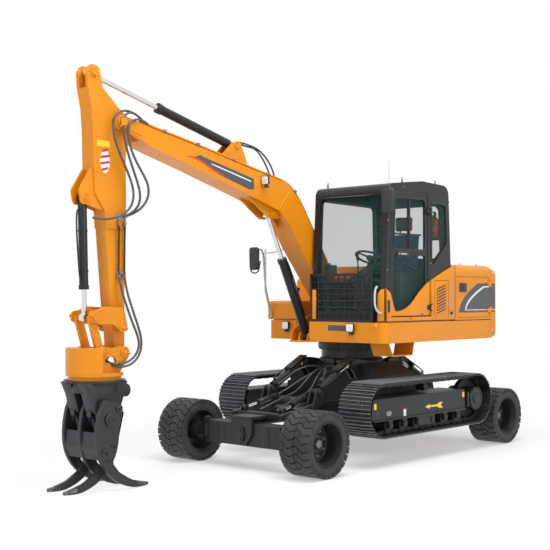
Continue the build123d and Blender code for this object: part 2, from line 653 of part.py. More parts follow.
BOX_MID = (BOX_LEFT - BODY_HALF_Y) / 2
BOX_WIDTH = BODY_HALF_Y + BOX_LEFT
with BuildPart() as side_boxes:
    side_solid([
        (BOX_FRONT, BODY_Z, 20), (BOX_FRONT, 1925, 60), (-150, 1935, 20), (-150, BODY_Z, 0),
    ], BOX_MID, BOX_WIDTH)
    side_solid([
        (-156, BODY_Z, 0), (-156, 2240, 70), (HOOD_FRONT + 12, 2240, 20), (HOOD_FRONT + 12, BODY_Z, 0),
    ], BOX_MID, BOX_WIDTH)
finish(side_boxes.part, "side_boxes")

# Cab: hollow shell with its windows and doorway cut
CAB_SIDE = [
    (CAB_FRONT, BODY_Z, 10), (CAB_FRONT - 10, 2090, 0), (600, 3340, 110), (-100, CAB_TOP + 18, 0),
    (-690, 3395, 130), (CAB_REAR, 2400, 0), (CAB_REAR, BODY_Z, 10),
]
CAB_INNER = [
    (CAB_FRONT - 55, BODY_Z + 50, 10), (CAB_FRONT - 66, 2090, 0), (545, 3280, 60), (-100, CAB_TOP - 50, 0),
    (-635, 3330, 80), (CAB_REAR + 55, 2400, 0), (CAB_REAR + 55, BODY_Z + 50, 10),
]
CAB_WIDTH = CAB_LEFT - CAB_RIGHT
CAB_MID = (CAB_LEFT + CAB_RIGHT) / 2
SIDE_WALL = 55
DOOR_FRONT, DOOR_REAR = 590, -245
DOORWAY = [
    (DOOR_FRONT, 1740, 60), (DOOR_FRONT, 2200, 0), (DOOR_FRONT - 60, 3260, 110), (DOOR_REAR, 3280, 50),
    (DOOR_REAR, 1740, 50),
]
WINDSCREEN = [
    (CAB_RIGHT + 80, 1800, 60), (CAB_RIGHT + 80, 3220, 90),
    (CAB_LEFT - 80, 3220, 90), (CAB_LEFT - 80, 1800, 60),
]
REAR_GLASS = [
    (CAB_RIGHT + 130, 2480, 60), (CAB_RIGHT + 130, 3150, 80),
    (CAB_LEFT - 130, 3150, 80), (CAB_LEFT - 130, 2480, 60),
]
QUARTER = [(-300, 2350, 30), (-300, 3180, 40), (-640, 3150, 60), (-655, 2640, 60)]
RIGHT_GLASS = [(560, 2150, 60), (510, 3200, 80), (-600, 3180, 80), (-620, 2450, 60), (0, 2150, 80)]
CAB_HINGE = (DOOR_REAR, CAB_LEFT + 16)
CAB_HINGE_Z = (1850, 3050)
with BuildPart() as cab_shell:
    side_solid(CAB_SIDE, CAB_MID, CAB_WIDTH)
    side_solid(CAB_INNER, CAB_MID, CAB_WIDTH - 2 * SIDE_WALL, Mode.SUBTRACT)
    side_solid(DOORWAY, CAB_LEFT, 2 * SIDE_WALL + 10, Mode.SUBTRACT)
    side_solid(QUARTER, CAB_LEFT, 2 * SIDE_WALL + 10, Mode.SUBTRACT)
    side_solid(RIGHT_GLASS, CAB_RIGHT, 2 * SIDE_WALL + 10, Mode.SUBTRACT)
    front_solid(WINDSCREEN, 500, CAB_FRONT + 10, Mode.SUBTRACT)
    front_solid(REAR_GLASS, CAB_REAR - 10, CAB_REAR + 120, Mode.SUBTRACT)
    for z in CAB_HINGE_Z:
        hinge_lugs(CAB_HINGE, z, (DOOR_REAR - 40, CAB_LEFT - 2), (DOOR_REAR + 8, CAB_LEFT + 29))
finish(cab_shell.part, "cab_shell")


def shrunk(rows, gap):
    """The same outline drawn in by a gap on its box's sides."""
    us = [row[0] for row in rows]
    vs = [row[1] for row in rows]
    mid_u, mid_v = (min(us) + max(us)) / 2, (min(vs) + max(vs)) / 2
    ku = 1 - 2 * gap / (max(us) - min(us))
    kv = 1 - 2 * gap / (max(vs) - min(vs))
    return [(mid_u + (u - mid_u) * ku, mid_v + (v - mid_v) * kv, r) for u, v, r in rows]


GLASS = 6
SCREEN_LEAN = [
    (CAB_FRONT - 20, 1700, 0), (CAB_FRONT - 32, 2090, 0), (CAB_FRONT - 108, 3260, 0),
    (CAB_FRONT - 114, 3260, 0), (CAB_FRONT - 38, 2090, 0), (CAB_FRONT - 26, 1700, 0),
]
with BuildPart() as windscreen:
    side_solid(SCREEN_LEAN, CAB_MID, CAB_WIDTH)
    front_solid(shrunk(WINDSCREEN, 0.6), 400, 800, Mode.INTERSECT)
with BuildPart() as cab_glass:
    add(windscreen.part)
    side_solid(shrunk(QUARTER, 0.6), CAB_LEFT - 15, GLASS)
    side_solid(shrunk(RIGHT_GLASS, 0.6), CAB_RIGHT + 15, GLASS)
    front_solid(shrunk(REAR_GLASS, 0.6), CAB_REAR + 15, CAB_REAR + 15 + GLASS)
finish(cab_glass.part, "cab_glass")

# Cab door: a full-height frame, its glass, and its hinge line at the rear edge
DOOR_Y = CAB_LEFT - 22
DOOR_THICK = 36
DOOR_FRAME = [
    (DOOR_FRONT - 5, 1746, 55), (DOOR_FRONT - 5, 2200, 0), (DOOR_FRONT - 65, 3254, 105),
    (DOOR_REAR + 5, 3274, 45), (DOOR_REAR + 5, 1746, 45),
]
UPPER_PANE = [(500, 2560, 40), (470, 3180, 60), (DOOR_REAR + 75, 3195, 30), (DOOR_REAR + 75, 2560, 30)]
LOWER_PANE = [(520, 1830, 50), (500, 2490, 30), (DOOR_REAR + 75, 2490, 30), (DOOR_REAR + 75, 1830, 40)]
with BuildPart() as cab_door:
    side_solid(DOOR_FRAME, DOOR_Y, DOOR_THICK)
    side_solid(UPPER_PANE, DOOR_Y, DOOR_THICK + 2, Mode.SUBTRACT)
    side_solid(LOWER_PANE, DOOR_Y, DOOR_THICK + 2, Mode.SUBTRACT)
    for z in CAB_HINGE_Z:
        block((DOOR_REAR, CAB_LEFT + 3, z - 30), (DOOR_REAR + 60, CAB_LEFT + 18, z + 30))
        block((DOOR_REAR + 9, CAB_LEFT - 10, z - 30), (DOOR_REAR + 60, CAB_LEFT + 18, z + 30))
        upright(CAB_HINGE[0], CAB_HINGE[1], 13, z - 30, z + 30)
        upright(CAB_HINGE[0], CAB_HINGE[1], HINGE_PIN_R + PIN_GAP, z - 31, z + 31, Mode.SUBTRACT)
finish(cab_door.part, "cab_door")

with BuildPart() as door_glass:
    side_solid(shrunk(UPPER_PANE, 0.6), DOOR_Y, GLASS)
    side_solid(shrunk(LOWER_PANE, 0.6), DOOR_Y, GLASS)
finish(door_glass.part, "door_glass")

CAB_FLOOR = BODY_Z + 50
SEAT_X, SEAT_Y = -230, CAB_MID
with BuildPart() as seat:
    block((SEAT_X - 180, SEAT_Y - 170, CAB_FLOOR), (SEAT_X + 180, SEAT_Y + 170, CAB_FLOOR + 330))
    block((SEAT_X - 250, SEAT_Y - 250, CAB_FLOOR + 330), (SEAT_X + 270, SEAT_Y + 250, CAB_FLOOR + 470))
    side_solid([
        (SEAT_X - 260, CAB_FLOOR + 400, 40), (SEAT_X - 130, CAB_FLOOR + 400, 30),
        (SEAT_X - 210, CAB_FLOOR + 1090, 50), (SEAT_X - 310, CAB_FLOOR + 1090, 50),
    ], SEAT_Y, 480)
    side_solid([
        (SEAT_X - 290, CAB_FLOOR + 1070, 10), (SEAT_X - 225, CAB_FLOOR + 1070, 10),
        (SEAT_X - 240, CAB_FLOOR + 1300, 40), (SEAT_X - 310, CAB_FLOOR + 1300, 40),
    ], SEAT_Y, 260)
finish(seat.part, "seat")

with BuildPart() as controls:
    for side in (-1, 1):
        y = SEAT_Y + side * 330
        block((SEAT_X - 180, y - 60, CAB_FLOOR), (SEAT_X + 330, y + 60, CAB_FLOOR + 560))
        upright(SEAT_X + 270, y, 12, CAB_FLOOR + 550, CAB_FLOOR + 740)
        upright(SEAT_X + 270, y, 26, CAB_FLOOR + 730, CAB_FLOOR + 840)
    for side in (-1, 1):
        block((400, SEAT_Y + side * 100 - 45, CAB_FLOOR), (520, SEAT_Y + side * 100 + 45, CAB_FLOOR + 60))
        upright(410, SEAT_Y + side * 100, 10, CAB_FLOOR + 50, CAB_FLOOR + 420)
    block((560, CAB_RIGHT + 90, CAB_FLOOR), (600, CAB_RIGHT + 190, CAB_FLOOR + 700))
finish(controls.part, "controls")

# Screen guard on the deck's front rim
GUARD_X = 698
GUARD_LOW, GUARD_HIGH = DECK_HIGH, 2268
GUARD_RIGHT, GUARD_LEFT = CAB_RIGHT + 7, CAB_LEFT - 150
with BuildPart() as screen_guard:
    block((GUARD_X, GUARD_RIGHT, GUARD_LOW), (GUARD_X + 26, GUARD_LEFT, GUARD_HIGH))
    block(
        (GUARD_X - 1, GUARD_RIGHT + 34, GUARD_LOW + 34), (GUARD_X + 27, GUARD_LEFT - 34, GUARD_HIGH - 34),
        Mode.SUBTRACT,
    )
    for row in range(6):
        bar_z = GUARD_LOW + 34 + (row + 1) * (GUARD_HIGH - GUARD_LOW - 68) / 7
        block((GUARD_X + 8, GUARD_RIGHT + 20, bar_z - 6), (GUARD_X + 18, GUARD_LEFT - 20, bar_z + 6))
    for column in range(8):
        bar_y = GUARD_RIGHT + 34 + (column + 1) * (GUARD_LEFT - GUARD_RIGHT - 68) / 9
        block((GUARD_X + 8, bar_y - 6, GUARD_LOW + 20), (GUARD_X + 18, bar_y + 6, GUARD_HIGH - 20))
finish(screen_guard.part, "screen_guard")

# Mirror on a pole off the right box
POLE = [(BOX_FRONT + 15, 1700), (BOX_FRONT + 15, 1720), (560, 2060), (600, 2640), (780, 2640)]
MIRROR_Y = 68 - BODY_HALF_Y
POLE_R = 11
with BuildPart() as mirror:
    block((BOX_FRONT, MIRROR_Y - 30, 1690), (BOX_FRONT + 30, MIRROR_Y + 30, 1750))
    for i in range(1, len(POLE) - 1):
        (ax, az), (bx, bz) = POLE[i], POLE[i + 1]
        run = Plane(origin=(ax, MIRROR_Y, az), x_dir=(0, 1, 0), z_dir=(bx - ax, 0, bz - az))
        with BuildSketch(run) as tube:
            Circle(POLE_R)
        extrude(tube.sketch, amount=hypot(bx - ax, bz - az))
        with Locations((bx, MIRROR_Y, bz)):
            Sphere(POLE_R + 1)
    block((765, MIRROR_Y - 95, 2290), (800, MIRROR_Y + 95, 2650))
finish(mirror.part, "mirror")

# Boom: one box section from its foot to a fork at the tip
BOOM_LOWER = [
    (200, 1870, 100), (330, 1985, 60), (867, 2603, 0), (1056, 2868, 90), (1241, 3030, 120), (1774, 3189, 0),
    (2593, 3414, 0), (3336, 3607, 0), (3650, 3745, 30),
]
BOOM_UPPER = [
    (3808, 3800, 82), (3780, 3912, 70), (3300, 3800, 0), (2550, 3665, 0), (1750, 3500, 0), (1100, 3380, 160),
    (860, 3180, 160), (500, 2660, 0), (-40, 1930, 100), (0, 1760, 100), (150, 1745, 80),
]
BOOM_EAR_Y = 68
CYL_EAR_Y = 81
EAR_PLATE = 24
ARM_CYL_EAR = [(1700, 3470, 0), (2220, 3580, 0), (1990, 3800, 60), (1870, 3830, 50)]
BOOM_CYL_EAR = [
    (1120, 2960, 60), (1250, 2935, 60), (1370, 2935, 60), (1800, 3215, 0), (1300, 3080, 0), (1180, 3030, 0),
]
FORK_GAP = STICK_WIDTH + 2 * SIDE_GAP
EYE_SLOT = 2 * CYL_EAR_Y - EAR_PLATE
with BuildPart() as boom:
    side_solid(BOOM_LOWER + BOOM_UPPER, BOOM_Y, BOOM_WIDTH)
    cross_pin(BOOM_FOOT, 118, BOOM_Y, BOOM_WIDTH)
    cross_pin(BOOM_TIP, 90, BOOM_Y, BOOM_WIDTH)
    block((3440, BOOM_Y - FORK_GAP / 2, 3300), (4000, BOOM_Y + FORK_GAP / 2, 4200), Mode.SUBTRACT)
    for out in (-1, 1):
        side_solid(ARM_CYL_EAR, BOOM_Y + out * BOOM_EAR_Y, EAR_PLATE)
        side_solid(BOOM_CYL_EAR, BOOM_Y + out * CYL_EAR_Y, EAR_PLATE)
        cross_pin(BOOM_TIP, 40, BOOM_Y + out * 160, 40)
    side_solid(
        [(1030, 2780, 0), (1530, 2880, 0), (1530, 3230, 0), (1240, 3180, 0), (1050, 3010, 0)],
        BOOM_Y, EYE_SLOT, Mode.SUBTRACT,
    )
    cross_pin(ARM_CYL_FOOT, 28, BOOM_Y, 2 * BOOM_EAR_Y + EAR_PLATE + 16)
    cross_pin(BOOM_FOOT, BOOM_PIN_R + PIN_GAP, BOOM_Y, BOOM_WIDTH + 2, Mode.SUBTRACT)
    cross_pin(BOOM_TIP, 40, BOOM_Y, FORK_GAP + 10)
finish(boom.part, "boom")

# Cylinders of the arm: (name, foot, eye, gland, barrel, rod, rod's inner end, blind)
EYE_WIDTH = 80
ARM_CYLINDERS = (
    ("boom_cylinder", BOOM_CYL_FOOT, BOOM_CYL_EYE, BOOM_CYL_GLAND, 54, 28, 30, 750, 90),
    ("stick_cylinder", ARM_CYL_FOOT, ARM_CYL_EYE, ARM_CYL_GLAND, 52, 29, 28, 900, 90),
    ("bucket_cylinder", BUCKET_CYL_FOOT, BUCKET_CYL_EYE, BUCKET_CYL_GLAND, 47, 25, 28, 400, 80),
)
for name, foot, eye, gland, barrel_r, rod_r, pin_r, inner, blind in ARM_CYLINDERS:
    with BuildPart() as tube:
        barrel(foot, eye, gland, BOOM_Y, barrel_r, rod_r, pin_r + 17, EYE_WIDTH, pin_r, blind)
    finish(tube.part, name + "_barrel")
    with BuildPart() as piston:
        rod(foot, eye, inner, BOOM_Y, rod_r, 44, EYE_WIDTH)
    finish(piston.part, name + "_rod")

# Stick
STICK_SIDE = [
    (4128, 4150, 40), (4079, 3930, 60), (4060, 3700, 0), (4050, 3320, 60), (4035, 3060, 40), (3905, 2880, 60),
    (3820, 1950, 0), (3772, 1560, 0), (3760, 1400, 60), (3625, 1400, 60), (3628, 1950, 0), (3620, 3000, 0),
    (3627, 3433, 200), (3600, 3820, 90), (3660, 3930, 60), (3724, 3972, 120), (3964, 4180, 60),
]
STICK_EAR = [(3930, 4130, 0), (4125, 4120, 30), (4140, 4300, 60), (4095, 4385, 50), (3985, 4370, 60)]
BUCKET_EAR = [
    (3960, 3300, 0), (4060, 3330, 60), (4220, 3080, 60), (4190, 2935, 50), (4100, 2930, 50), (3880, 2870, 0),
]
LOW_WIDTH = 160
ROCKER_IN = 134
with BuildPart() as stick:
    side_solid(STICK_SIDE, BOOM_Y, STICK_WIDTH)
    for out in (-1, 1):
        side_solid([
            (3400, 1300, 0), (4000, 1300, 0), (4000, 2700, 0), (3400, 2700, 0),
        ], BOOM_Y + out * (LOW_WIDTH / 2 + 20), 40, Mode.SUBTRACT)
    for out in (-1, 1):
        side_solid(STICK_EAR, BOOM_Y + out * (STICK_WIDTH / 2 - 20), 40)
        side_solid(BUCKET_EAR, BOOM_Y + out * 66, 26)
    cross_pin(BUCKET_CYL_FOOT, 28, BOOM_Y, 162)
    cross_pin(ROCKER_PIN, 46, BOOM_Y, 2 * (ROCKER_IN - SIDE_GAP))
    cross_pin(ROCKER_PIN, STICK_PIN_R, BOOM_Y, 2 * (ROCKER_IN + 38))
    cross_pin(STICK_END, 62, BOOM_Y, 2 * (ROCKER_IN - SIDE_GAP))
    cross_pin(BOOM_TIP, 40 + PIN_GAP, BOOM_Y, STICK_WIDTH + 2, Mode.SUBTRACT)
    cross_pin(STICK_END, STICK_PIN_R + PIN_GAP, BOOM_Y, 2 * ROCKER_IN, Mode.SUBTRACT)
finish(stick.part, "stick")

ROCKER_SIDE = [
    (3655, 1620, 40), (3720, 1615, 30), (3850, 1705, 90), (3980, 1700, 90), (4060, 1715, 40),
    (4150, 1725, 50), (4145, 1835, 50), (4050, 1845, 60), (3950, 1885, 120), (3700, 1870, 80),
    (3660, 1700, 60),
]
PLATE_MID = ROCKER_IN + 15
with BuildPart() as rocker:
    for out in (-1, 1):
        side_solid(ROCKER_SIDE, BOOM_Y + out * PLATE_MID, 30)
        cross_pin(BUCKET_CYL_EYE, 30, BOOM_Y + out * (PLATE_MID + 8), 46)
    cross_pin(ROCKER_PIN, STICK_PIN_R + PIN_GAP, BOOM_Y, 400, Mode.SUBTRACT)
finish(rocker.part, "rocker")

LINK_SIDE = [
    (4045, 1770, 40), (4090, 1815, 40), (4135, 1770, 40),
    (4022, 1420, 42), (3977, 1372, 42), (3932, 1420, 42),
]
with BuildPart() as bucket_link:
    for out in (-1, 1):
        side_solid(LINK_SIDE, BOOM_Y + out * 108, 40)
    cross_pin(LINK_PIN, STICK_PIN_R + PIN_GAP, BOOM_Y, 400, Mode.SUBTRACT)
finish(bucket_link.part, "bucket_link")

# Coupler: side plates, rounded front cover, flange ring and fixed drum
COUPLER_SIDE = [
    (3632, 1440, 60), (3700, 1472, 60), (3860, 1455, 60), (3977, 1475, 55), (4080, 1460, 0), (4080, 1195, 0),
    (3759, 1195, 0), (3660, 1330, 40), (3630, 1370, 40),
]
COUPLER_WINDOW = [(3795, 1300, 20), (3830, 1365, 40), (3935, 1365, 40), (3965, 1300, 20)]
COVER_R = 300
with BuildPart() as coupler:
    for out in (-1, 1):
        side_solid(COUPLER_SIDE, BOOM_Y + out * (PLATE_MID + 1), 32)
        side_solid(COUPLER_WINDOW, BOOM_Y + out * (PLATE_MID + 1), 40, Mode.SUBTRACT)
        cross_pin(STICK_END, STICK_PIN_R, BOOM_Y, 2 * (PLATE_MID + 24))
        cross_pin(LINK_PIN, STICK_PIN_R, BOOM_Y, 2 * (PLATE_MID + 24))
    with BuildSketch(Plane.XY.offset(1195)) as cover_plan:
        with Locations((GRAPPLE_X, BOOM_Y)):
            Circle(COVER_R)
        with Locations((4070 - 500, BOOM_Y)):
            Rectangle(1000, 800, mode=Mode.SUBTRACT)
    extrude(cover_plan.sketch, amount=265)
    upright(GRAPPLE_X, BOOM_Y, 297, 1170, 1200)
    upright(GRAPPLE_X, BOOM_Y, 276, ROTATOR_LOW, 1175)
finish(coupler.part, "coupler")

# Grapple head: turning disc, frame and hanger plates on both sides of every jaw plate
HANGERS = (72, 202)
HEAD_TOP = ROTATOR_LOW - SEAT
HANGER_SIDE = [(3760, 1020, 0), (4150, 1020, 0), (4070, 665, 80), (3840, 665, 80)]
with BuildPart() as grapple_head:
    upright(GRAPPLE_X, BOOM_Y, 320, HEAD_TOP - 20, HEAD_TOP)
    upright(GRAPPLE_X, BOOM_Y, 250, 1000, HEAD_TOP - 15)
    for out in (-1, 1):
        for hanger in HANGERS:
            side_solid(HANGER_SIDE, BOOM_Y + out * hanger, 24)
        cross_pin(JAW_TWO_PIN, JAW_PIN_R, BOOM_Y + out * 137, 150)
        cross_pin(JAW_THREE_PIN, JAW_PIN_R, BOOM_Y + out * 245, 100)
    cross_pin(JAW_THREE_PIN, JAW_PIN_R, BOOM_Y, 160)
    side_solid([
        (3780, 936, 0), (3780, 1056, 0), (3600, 1056, 50), (3551, 990, 40), (3600, 936, 50),
    ], BOOM_Y, 70)
    block((3700, BOOM_Y - 202, 1000), (3790, BOOM_Y + 202, 1060))
finish(grapple_head.part, "grapple_head")

# Jaws: curved plates in two crossing rows: (offset from the middle, boss start, boss end)
JAW_SIDE = [
    (3814, 830, 40), (3860, 890, 30), (4087, 953, 50), (4112, 764, 60), (4150, 620, 90), (4142, 445, 120),
    (4098, 330, 90), (4008, 208, 120), (3864, 88, 120), (3678, 12, 120), (3473, 14, 12), (3480, 40, 0),
    (3700, 95, 200), (3860, 190, 100), (3943, 286, 40),
]
JAW_BACK = [
    (4131, 610, 0), (4142, 445, 0), (4098, 330, 0), (4080, 341, 0), (4121, 452, 0), (4111, 610, 0),
]
THREE_PLATES = ((-270, -292, -220), (0, -54, 54), (270, 220, 292))
TWO_PLATES = ((-135, -184, -90), (135, 90, 184))


def crossed(rows):
    """The outline of the facing jaw, mirrored about the grapple's axis."""
    return [(2 * GRAPPLE_X - x, z, r) for x, z, r in rows]


with BuildPart() as jaw_three:
    for offset, boss_low, boss_high in THREE_PLATES:
        side_solid(JAW_SIDE, BOOM_Y + offset, TINE_THICK)
        cross_pin(JAW_THREE_PIN, 56, BOOM_Y + (boss_low + boss_high) / 2, boss_high - boss_low)
    side_solid(JAW_BACK, BOOM_Y, 540)
    cross_pin(JAW_THREE_PIN, JAW_PIN_R + PIN_GAP, BOOM_Y, 700, Mode.SUBTRACT)
finish(jaw_three.part, "jaw_three")

with BuildPart() as jaw_two:
    for offset, boss_low, boss_high in TWO_PLATES:
        side_solid(crossed(JAW_SIDE), BOOM_Y + offset, TINE_THICK)
        cross_pin(JAW_TWO_PIN, 56, BOOM_Y + (boss_low + boss_high) / 2, boss_high - boss_low)
    side_solid(crossed(JAW_BACK), BOOM_Y, 270)
    cross_pin(JAW_TWO_PIN, JAW_PIN_R + PIN_GAP, BOOM_Y, 700, Mode.SUBTRACT)
finish(jaw_two.part, "jaw_two")
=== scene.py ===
# %% [markdown]
# # A wheel and track excavator with a timber grapple
# The solids of this machine come from a CAD model. Blender adds what solids leave out: the
# tread of the tyres, the shoes of the tracks, hoses, cushions, and the finish of every surface.
# Each cell makes one thing, and the machine is then seen as the camera of a studio would.

# %% Start from the solids
import bpy
import bmesh
import math
from contextlib import contextmanager
from mathutils import Matrix, Vector


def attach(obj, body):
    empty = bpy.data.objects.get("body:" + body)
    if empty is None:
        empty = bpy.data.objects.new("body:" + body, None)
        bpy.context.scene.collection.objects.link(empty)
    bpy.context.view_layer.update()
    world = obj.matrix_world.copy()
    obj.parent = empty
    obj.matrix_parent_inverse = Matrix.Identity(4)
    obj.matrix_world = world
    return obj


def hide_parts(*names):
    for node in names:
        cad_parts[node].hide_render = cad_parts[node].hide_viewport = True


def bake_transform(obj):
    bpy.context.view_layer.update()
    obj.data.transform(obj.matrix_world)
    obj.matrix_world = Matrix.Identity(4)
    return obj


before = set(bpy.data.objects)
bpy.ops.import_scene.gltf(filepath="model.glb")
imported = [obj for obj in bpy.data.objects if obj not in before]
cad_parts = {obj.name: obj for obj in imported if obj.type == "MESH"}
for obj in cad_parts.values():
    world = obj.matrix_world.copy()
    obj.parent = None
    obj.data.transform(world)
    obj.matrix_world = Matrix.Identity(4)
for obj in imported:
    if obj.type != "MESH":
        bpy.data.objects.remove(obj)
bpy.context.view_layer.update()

# %% [markdown]
# Every measure below is in metres from the ground under the middle of the slew ring, with X to the
# front, Y to the cab's side and Z up. The solids stand a little further back, so a finished piece
# is moved by AHEAD before it joins them.

# %% Places on the machine
AHEAD = 1.07546
BOOM_Y = -0.28
HOOD_Y = 1.068
CAB_FLOOR = 1.735
WHEEL_X, WHEEL_Y, WHEEL_Z, WHEEL_R = 1.913, 0.982, 0.37, 0.37
TRACK_Y = 0.989
SPROCKET_X, IDLER_X, LOOP_Z, LOOP_R = -1.124, 0.901, 0.661, 0.325
WHEELS = (
    ("front_left", WHEEL_X, 1, "wheel_fl"), ("front_right", WHEEL_X, -1, "wheel_fr"),
    ("rear_left", -WHEEL_X, 1, "wheel_rl"), ("rear_right", -WHEEL_X, -1, "wheel_rr"),
)

# %% [markdown]
# ## Finishes
# A material is a small network of nodes. Sums between its sockets read best as plain sums, so a
# thin wrapper turns + - * on a socket into the Math nodes that do them. Everything else goes
# through one method that takes the node's type, its settings and its sockets.

# %% Sums on sockets
class Wire:
    """One output of a node, on which sums can be written."""

    def __init__(self, network, socket):
        self.network = network
        self.socket = socket

    def sum(self, operation, first, second=0.0):
        return self.network.node(
            "ShaderNodeMath", {"operation": operation}, {0: first, 1: second}
        )

    def __add__(self, other):
        return self.sum("ADD", self, other)

    def __radd__(self, other):
        return self.sum("ADD", other, self)

    def __sub__(self, other):
        return self.sum("SUBTRACT", self, other)

    def __rsub__(self, other):
        return self.sum("SUBTRACT", other, self)

    def __mul__(self, other):
        return self.sum("MULTIPLY", self, other)

    def __rmul__(self, other):
        return self.sum("MULTIPLY", other, self)

    def root(self):
        return self.sum("SQRT", self)

    def rise(self, low, high):
        """From 0 at low to 1 at high, with a soft start and end."""
        return self.network.node(
            "ShaderNodeMapRange", {"interpolation_type": "SMOOTHSTEP"},
            {"Value": self, "From Min": low, "From Max": high},
        )


class Network:
    """The nodes of a material or of the world."""

    def __init__(self, tree):
        self.tree = tree

    def node(self, kind, settings=None, sockets=None, output=0):
        made = self.tree.nodes.new(kind)
        for key, value in (settings or {}).items():
            setattr(made, key, value)
        for key, value in (sockets or {}).items():
            socket = made.inputs[key]
            if isinstance(value, Wire):
                self.tree.links.new(value.socket, socket)
            elif isinstance(value, tuple) and socket.type == "RGBA":
                socket.default_value = (*value, 1)
            else:
                socket.default_value = value
        return Wire(self, made.outputs[output])

    def end_in(self, output_node, wire):
        self.tree.links.new(wire.socket, self.tree.nodes[output_node].inputs[0])


# %% [markdown]
# A finish is such a network round one shader. It also keeps a slot, a word for the kind of
# surface it is, which stays on the finish and is not given to the pieces.

# %% A finish
class Finish(Network):
    """A material, named for the surface that it is on."""

    def __init__(self, name, slot, colour, roughness, metallic=0.0, **constants):
        self.material = bpy.data.materials.new(name)
        self.material.use_nodes = True
        super().__init__(self.material.node_tree)
        self.shader = self.tree.nodes["Principled BSDF"]
        self.slot = slot
        self.colour = colour
        constants.update(Base_Color=(*colour, 1), Roughness=roughness, Metallic=metallic)
        for socket, value in constants.items():
            self.shader.inputs[socket.replace("_", " ")].default_value = value

    def use(self, **wires):
        for name, wire in wires.items():
            self.tree.links.new(wire.socket, self.shader.inputs[name.replace("_", " ")])

    def place(self):
        """The point on the machine, measured from under the slew ring."""
        point = self.node("ShaderNodeTexCoord", output="Object")
        return self.node("ShaderNodeVectorMath", {"operation": "ADD"}, {0: point, 1: (AHEAD, 0, 0)})

    def along(self, axis):
        return self.node("ShaderNodeSeparateXYZ", None, {0: self.place()}, output=axis)

    def facing_up(self):
        """How far a surface looks up, which is where dust settles."""
        normal = self.node("ShaderNodeNewGeometry", output="Normal")
        return self.node("ShaderNodeSeparateXYZ", None, {0: normal}, output=2)

    def noise(self, scale, detail=3.0, roughness=0.5, stretch=(1, 1, 1)):
        point = self.node(
            "ShaderNodeVectorMath", {"operation": "MULTIPLY"}, {0: self.place(), 1: stretch}
        )
        return self.node("ShaderNodeTexNoise", None, {
            "Vector": point, "Scale": scale, "Detail": detail, "Roughness": roughness,
        })

    def cells(self, scale):
        return self.node("ShaderNodeTexVoronoi", None, {"Vector": self.place(), "Scale": scale})

    def mix(self, mask, first, second):
        return self.node(
            "ShaderNodeMix", {"data_type": "RGBA"}, {0: mask, 6: first, 7: second}, output=2
        )

    def bump(self, height, strength, distance):
        self.use(Normal=self.node("ShaderNodeBump", None, {
            "Height": height, "Strength": strength, "Distance": distance,
        }))

    def shaded(self, spread, scale):
        """The base colour, darker and lighter by a share of itself in slow patches."""
        dark = tuple(c * (1 - spread) for c in self.colour)
        light = tuple(min(1, c * (1 + spread)) for c in self.colour)
        colour = self.mix(self.noise(scale).rise(0.35, 0.65), dark, light)
        self.use(Base_Color=colour)
        return colour


# %% [markdown]
# The machine's yellow is two coats of enamel. It is smooth but not flat: a very fine orange peel
# breaks up the highlights, and a thin film of dust lies where a surface looks up.

# %% Enamels
DUST = (0.42, 0.38, 0.32)


def enamel(name, slot, colour, roughness, coat, dust=0.05, peel=0.0012, shine=0.5):
    made = Finish(
        name, slot, colour, roughness,
        Coat_Roughness=0.12, Coat_Weight=coat, Specular_IOR_Level=shine,
    )
    patches = made.shaded(0.035, 1.7)
    settled = made.facing_up().rise(0.75, 1.0) * made.noise(9, 4).rise(0.3, 0.7) * dust
    made.use(
        Base_Color=made.mix(settled, patches, DUST),
        Roughness=made.noise(14, 4).rise(0.2, 0.8) * 0.08 + roughness + settled,
    )
    made.bump(made.noise(170, 2), 0.25, peel)
    return made


YELLOW = enamel("yellow_enamel", "yellow_paint", (0.74, 0.25, 0.001), 0.3, 0.12, shine=0.36)
YELLOW_ARM = enamel(
    "yellow_enamel_arm", "yellow_paint", (0.7, 0.235, 0.001), 0.33, 0.1, dust=0.02, shine=0.36
)
BLACK = enamel(
    "black_enamel", "dark_paint", (0.012, 0.0135, 0.0155), 0.26, 0.12, dust=0.04, shine=0.3
)
FRAME_GREY = enamel(
    "frame_enamel", "dark_paint", (0.018, 0.0195, 0.0215), 0.36, 0.05,
    dust=0.08, peel=0.002, shine=0.3,
)
print("enamels:", [m.name for m in bpy.data.materials if "enamel" in m.name])

# %% [markdown]
# Steel that works against the ground is cast or rolled, then worn bright where it rubs. Two noises
# do that: a coarse one for the patches that wear, and a fine one for the grain in them. A track
# shoe is brightest on its bars, so its finish also asks how far a point is from the loop's middle.

# %% Steels
def worn_steel(name, slot, colour, bright, share, roughness=0.5):
    made = Finish(name, slot, colour, roughness, 0.35)
    worn = made.noise(7, 5, 0.65).rise(share, share + 0.25)
    grain = made.noise(90, 4, 0.6)
    made.use(
        Base_Color=made.mix(worn, colour, bright), Metallic=worn * 0.5 + 0.3,
        Roughness=grain * 0.25 + (roughness - 0.1) - worn * 0.12,
    )
    made.bump(grain, 0.4, 0.002)
    return made


SHOE_STEEL = worn_steel(
    "shoe_steel", "track_steel", (0.03, 0.033, 0.037), (0.05, 0.054, 0.059), 0.45, 0.4
)
forward, height = SHOE_STEEL.along(0), SHOE_STEEL.along(2) - LOOP_Z
between_ends = SHOE_STEEL.node(
    "ShaderNodeClamp", None, {"Value": forward, "Min": SPROCKET_X, "Max": IDLER_X}
)
over_end = forward - between_ends
from_loop = (over_end * over_end + height * height).root()
rubbed = SHOE_STEEL.noise(11, 4).rise(0.25, 0.75) * 0.35 + 0.65
crest = from_loop.rise(LOOP_R - 0.012, LOOP_R - 0.0035) * rubbed
SHOE_STEEL.use(Base_Color=SHOE_STEEL.mix(crest, (0.035, 0.038, 0.042), (0.23, 0.245, 0.265)))

